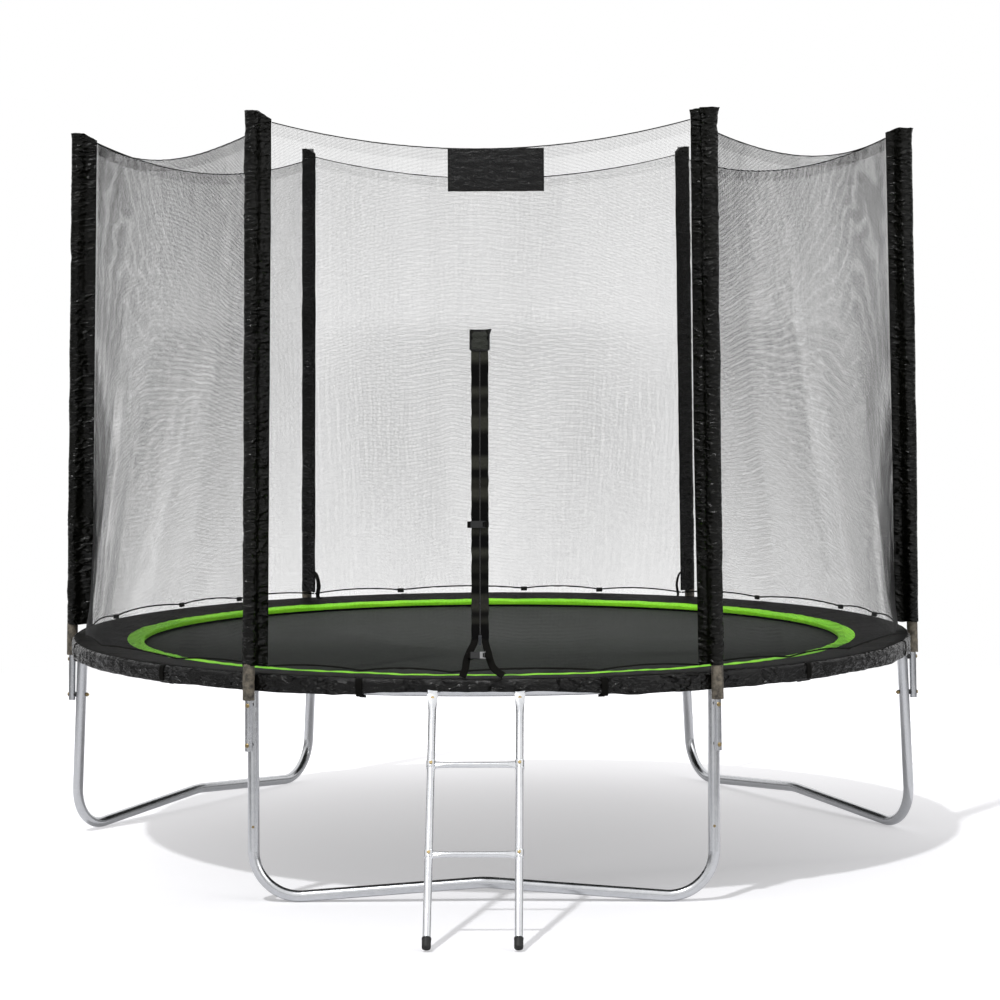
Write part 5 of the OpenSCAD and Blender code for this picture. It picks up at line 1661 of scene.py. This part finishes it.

# %% [markdown]
# A product stands on white so that nothing competes with its outline, but its shadow has to stay, or it
# floats. The floor is an ordinary pale surface that catches the shadow; for the camera a little white is
# added on top as painted light, more towards the back and less to the right, which lifts it to the white
# background and pales the shadow unevenly. Glossy pieces need something dark to reflect, so flags stand
# round the room for them alone.

# %% Floor and background
FLOOR_REACH = 60.0
SHADOW_REACH = 4.2
SHADOW_FADE = 1.6
FLOOR_TONE = 0.72
FLOOR_LIFT = 0.29
LIFT_FROM_Y = -1.0
LIFT_TO_Y = 2.2
LIFT_MORE = 0.345
LIFT_BEND = 0.7
LIFT_TURN = 0.35
GLOSSY_LIFT = 0.45
FLAG_DEPTH = 0.82
FRONT_FLAG_DEPTH = 0.66
FRONT_DIM = 0.28


def flags(p, toward):
    """How dark a direction is in reflections: flags on both sides and front right, in a dim front."""
    sideways, depth = toward.part(0), toward.part(1)
    aside = p.ramp(sideways.math("ABSOLUTE"), (0.50, 0.0), (0.72, 1.0)) * FLAG_DEPTH
    front = p.ramp(sideways, (0.05, 0.0), (0.18, 1.0), (0.45, 1.0), (0.60, 0.0)) * (depth < 0.0)
    dim = p.ramp(depth * -1.0, (0.20, 0.0), (0.60, 1.0)) * FRONT_DIM
    return aside.either(front * FRONT_FLAG_DEPTH).either(dim)


def floor_paint():
    """Pale floor near the object, with a glow painted on for the camera that pales the shadow towards the
    back, plain white beyond the reach of its shadow.
    """
    p = Paint("studio_floor")
    path = ("LightPath", {}, {})
    straight = p.node(*path, "Is Camera Ray").either(p.node(*path, "Is Transmission Ray"))
    shiny = p.node(*path, "Is Glossy Ray")
    seen = straight.either(shiny)
    away = p.node("VectorMath", {"operation": "LENGTH"}, {0: p.place()}, "Value")
    far = ((away - SHADOW_REACH) / SHADOW_FADE).clipped()
    toward = p.node("VectorMath", {"operation": "NORMALIZE"}, {0: p.place()})
    tone = (FLOOR_TONE - 0.005, FLOOR_TONE - 0.005, FLOOR_TONE + 0.015, 1)
    pale = p.node("BsdfDiffuse", {}, {"Color": tone})
    # Painted light: the white added for the camera grows towards the back and is weaker to the right,
    # paling the ring's shadow unevenly.
    behind = p.place().part(1) - p.place().part(0) * LIFT_TURN
    shadow_paling = ((behind - LIFT_FROM_Y) / (LIFT_TO_Y - LIFT_FROM_Y)).clipped() ** LIFT_BEND
    strength = (shadow_paling * LIFT_MORE + FLOOR_LIFT) * (straight * (1 - GLOSSY_LIFT) + GLOSSY_LIFT)
    lift = p.node("Emission", {}, {"Color": (1, 0.99, 1, 1), "Strength": strength})
    white = p.node("Emission", {}, {"Color": (1, 1, 1, 1), "Strength": 1 - shiny * flags(p, toward)})
    both = p.node("AddShader", {}, {0: pale, 1: lift})
    faded = p.node("MixShader", {}, {0: far, 1: both, 2: white})
    mixed = p.node("MixShader", {}, {0: seen, 1: pale, 2: faded})
    p.node("OutputMaterial", {}, {"Surface": mixed})
    return p.material


bm = bmesh.new()
bmesh.ops.create_grid(bm, x_segments=1, y_segments=1, size=FLOOR_REACH)
add_piece(bm, "floor", floor_paint(), body=None)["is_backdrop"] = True

WORLD_LIGHT = 0.58


def make_world():
    """A white room. Its light is weaker than it looks, and its dark flags show in reflections alone."""
    p = Paint("studio", "worlds")
    bpy.context.scene.world = p.material
    path = ("LightPath", {}, {})
    seen = p.node(*path, "Is Camera Ray").either(p.node(*path, "Is Transmission Ray"))
    shiny = p.node(*path, "Is Glossy Ray")
    toward = p.node("TexCoord", {}, {}, "Generated")
    low = p.ramp(toward.part(2).math("ABSOLUTE"), (0.12, 1.0), (0.42, 0.0))
    reflected = 1 - flags(p, toward) * low
    strength = seen + (1 - seen) * (shiny * reflected + (1 - shiny) * WORLD_LIGHT)
    sky = p.node("Background", {}, {"Color": (1, 1, 1, 1), "Strength": strength})
    p.node("OutputWorld", {}, {"Surface": sky})


make_world()

# %% [markdown]
# One distant lamp high on the front left gives the tubes their bright flank and throws the shadow of the
# ring to the right and back. It is a sun, so the shadow keeps the ring's own size, with a slightly soft
# rim. A broad, weaker lamp opposite keeps the dark sides readable.

# %% Lamps
KEY_SLOPE = (0.31, 0.46, -1.0)
KEY_SOFTNESS = math.radians(2.4)
KEY_STRENGTH = 1.75
FILL = {"place": (7.0, -6.0, 4.0), "aim": (0, 0, 1.2), "size": 5.0, "watts": 200}


def hang_lamp(name, kind, strength, place, direction):
    """A lamp that shines in a direction."""
    data = bpy.data.lights.new(name, kind)
    data.energy = strength
    lamp = bpy.data.objects.new(name, data)
    bpy.context.scene.collection.objects.link(lamp)
    lamp.location = place
    lamp.rotation_euler = Vector(direction).to_track_quat("-Z", "Y").to_euler()
    return data


hang_lamp("key", "SUN", KEY_STRENGTH, (-3, -4, 9), KEY_SLOPE).angle = KEY_SOFTNESS
fill_aim = Vector(FILL["aim"]) - Vector(FILL["place"])
hang_lamp("fill", "AREA", FILL["watts"], FILL["place"], fill_aim).size = FILL["size"]
bpy.context.scene.view_settings.view_transform = "Standard"

# %% [markdown]
# Last, the size of the dressed model is printed.

# %% Measure and finish
def write_sizes():
    low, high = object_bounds()
    return [round(x, 3) for x in high - low]


print("size of the dressed model:", write_sizes())
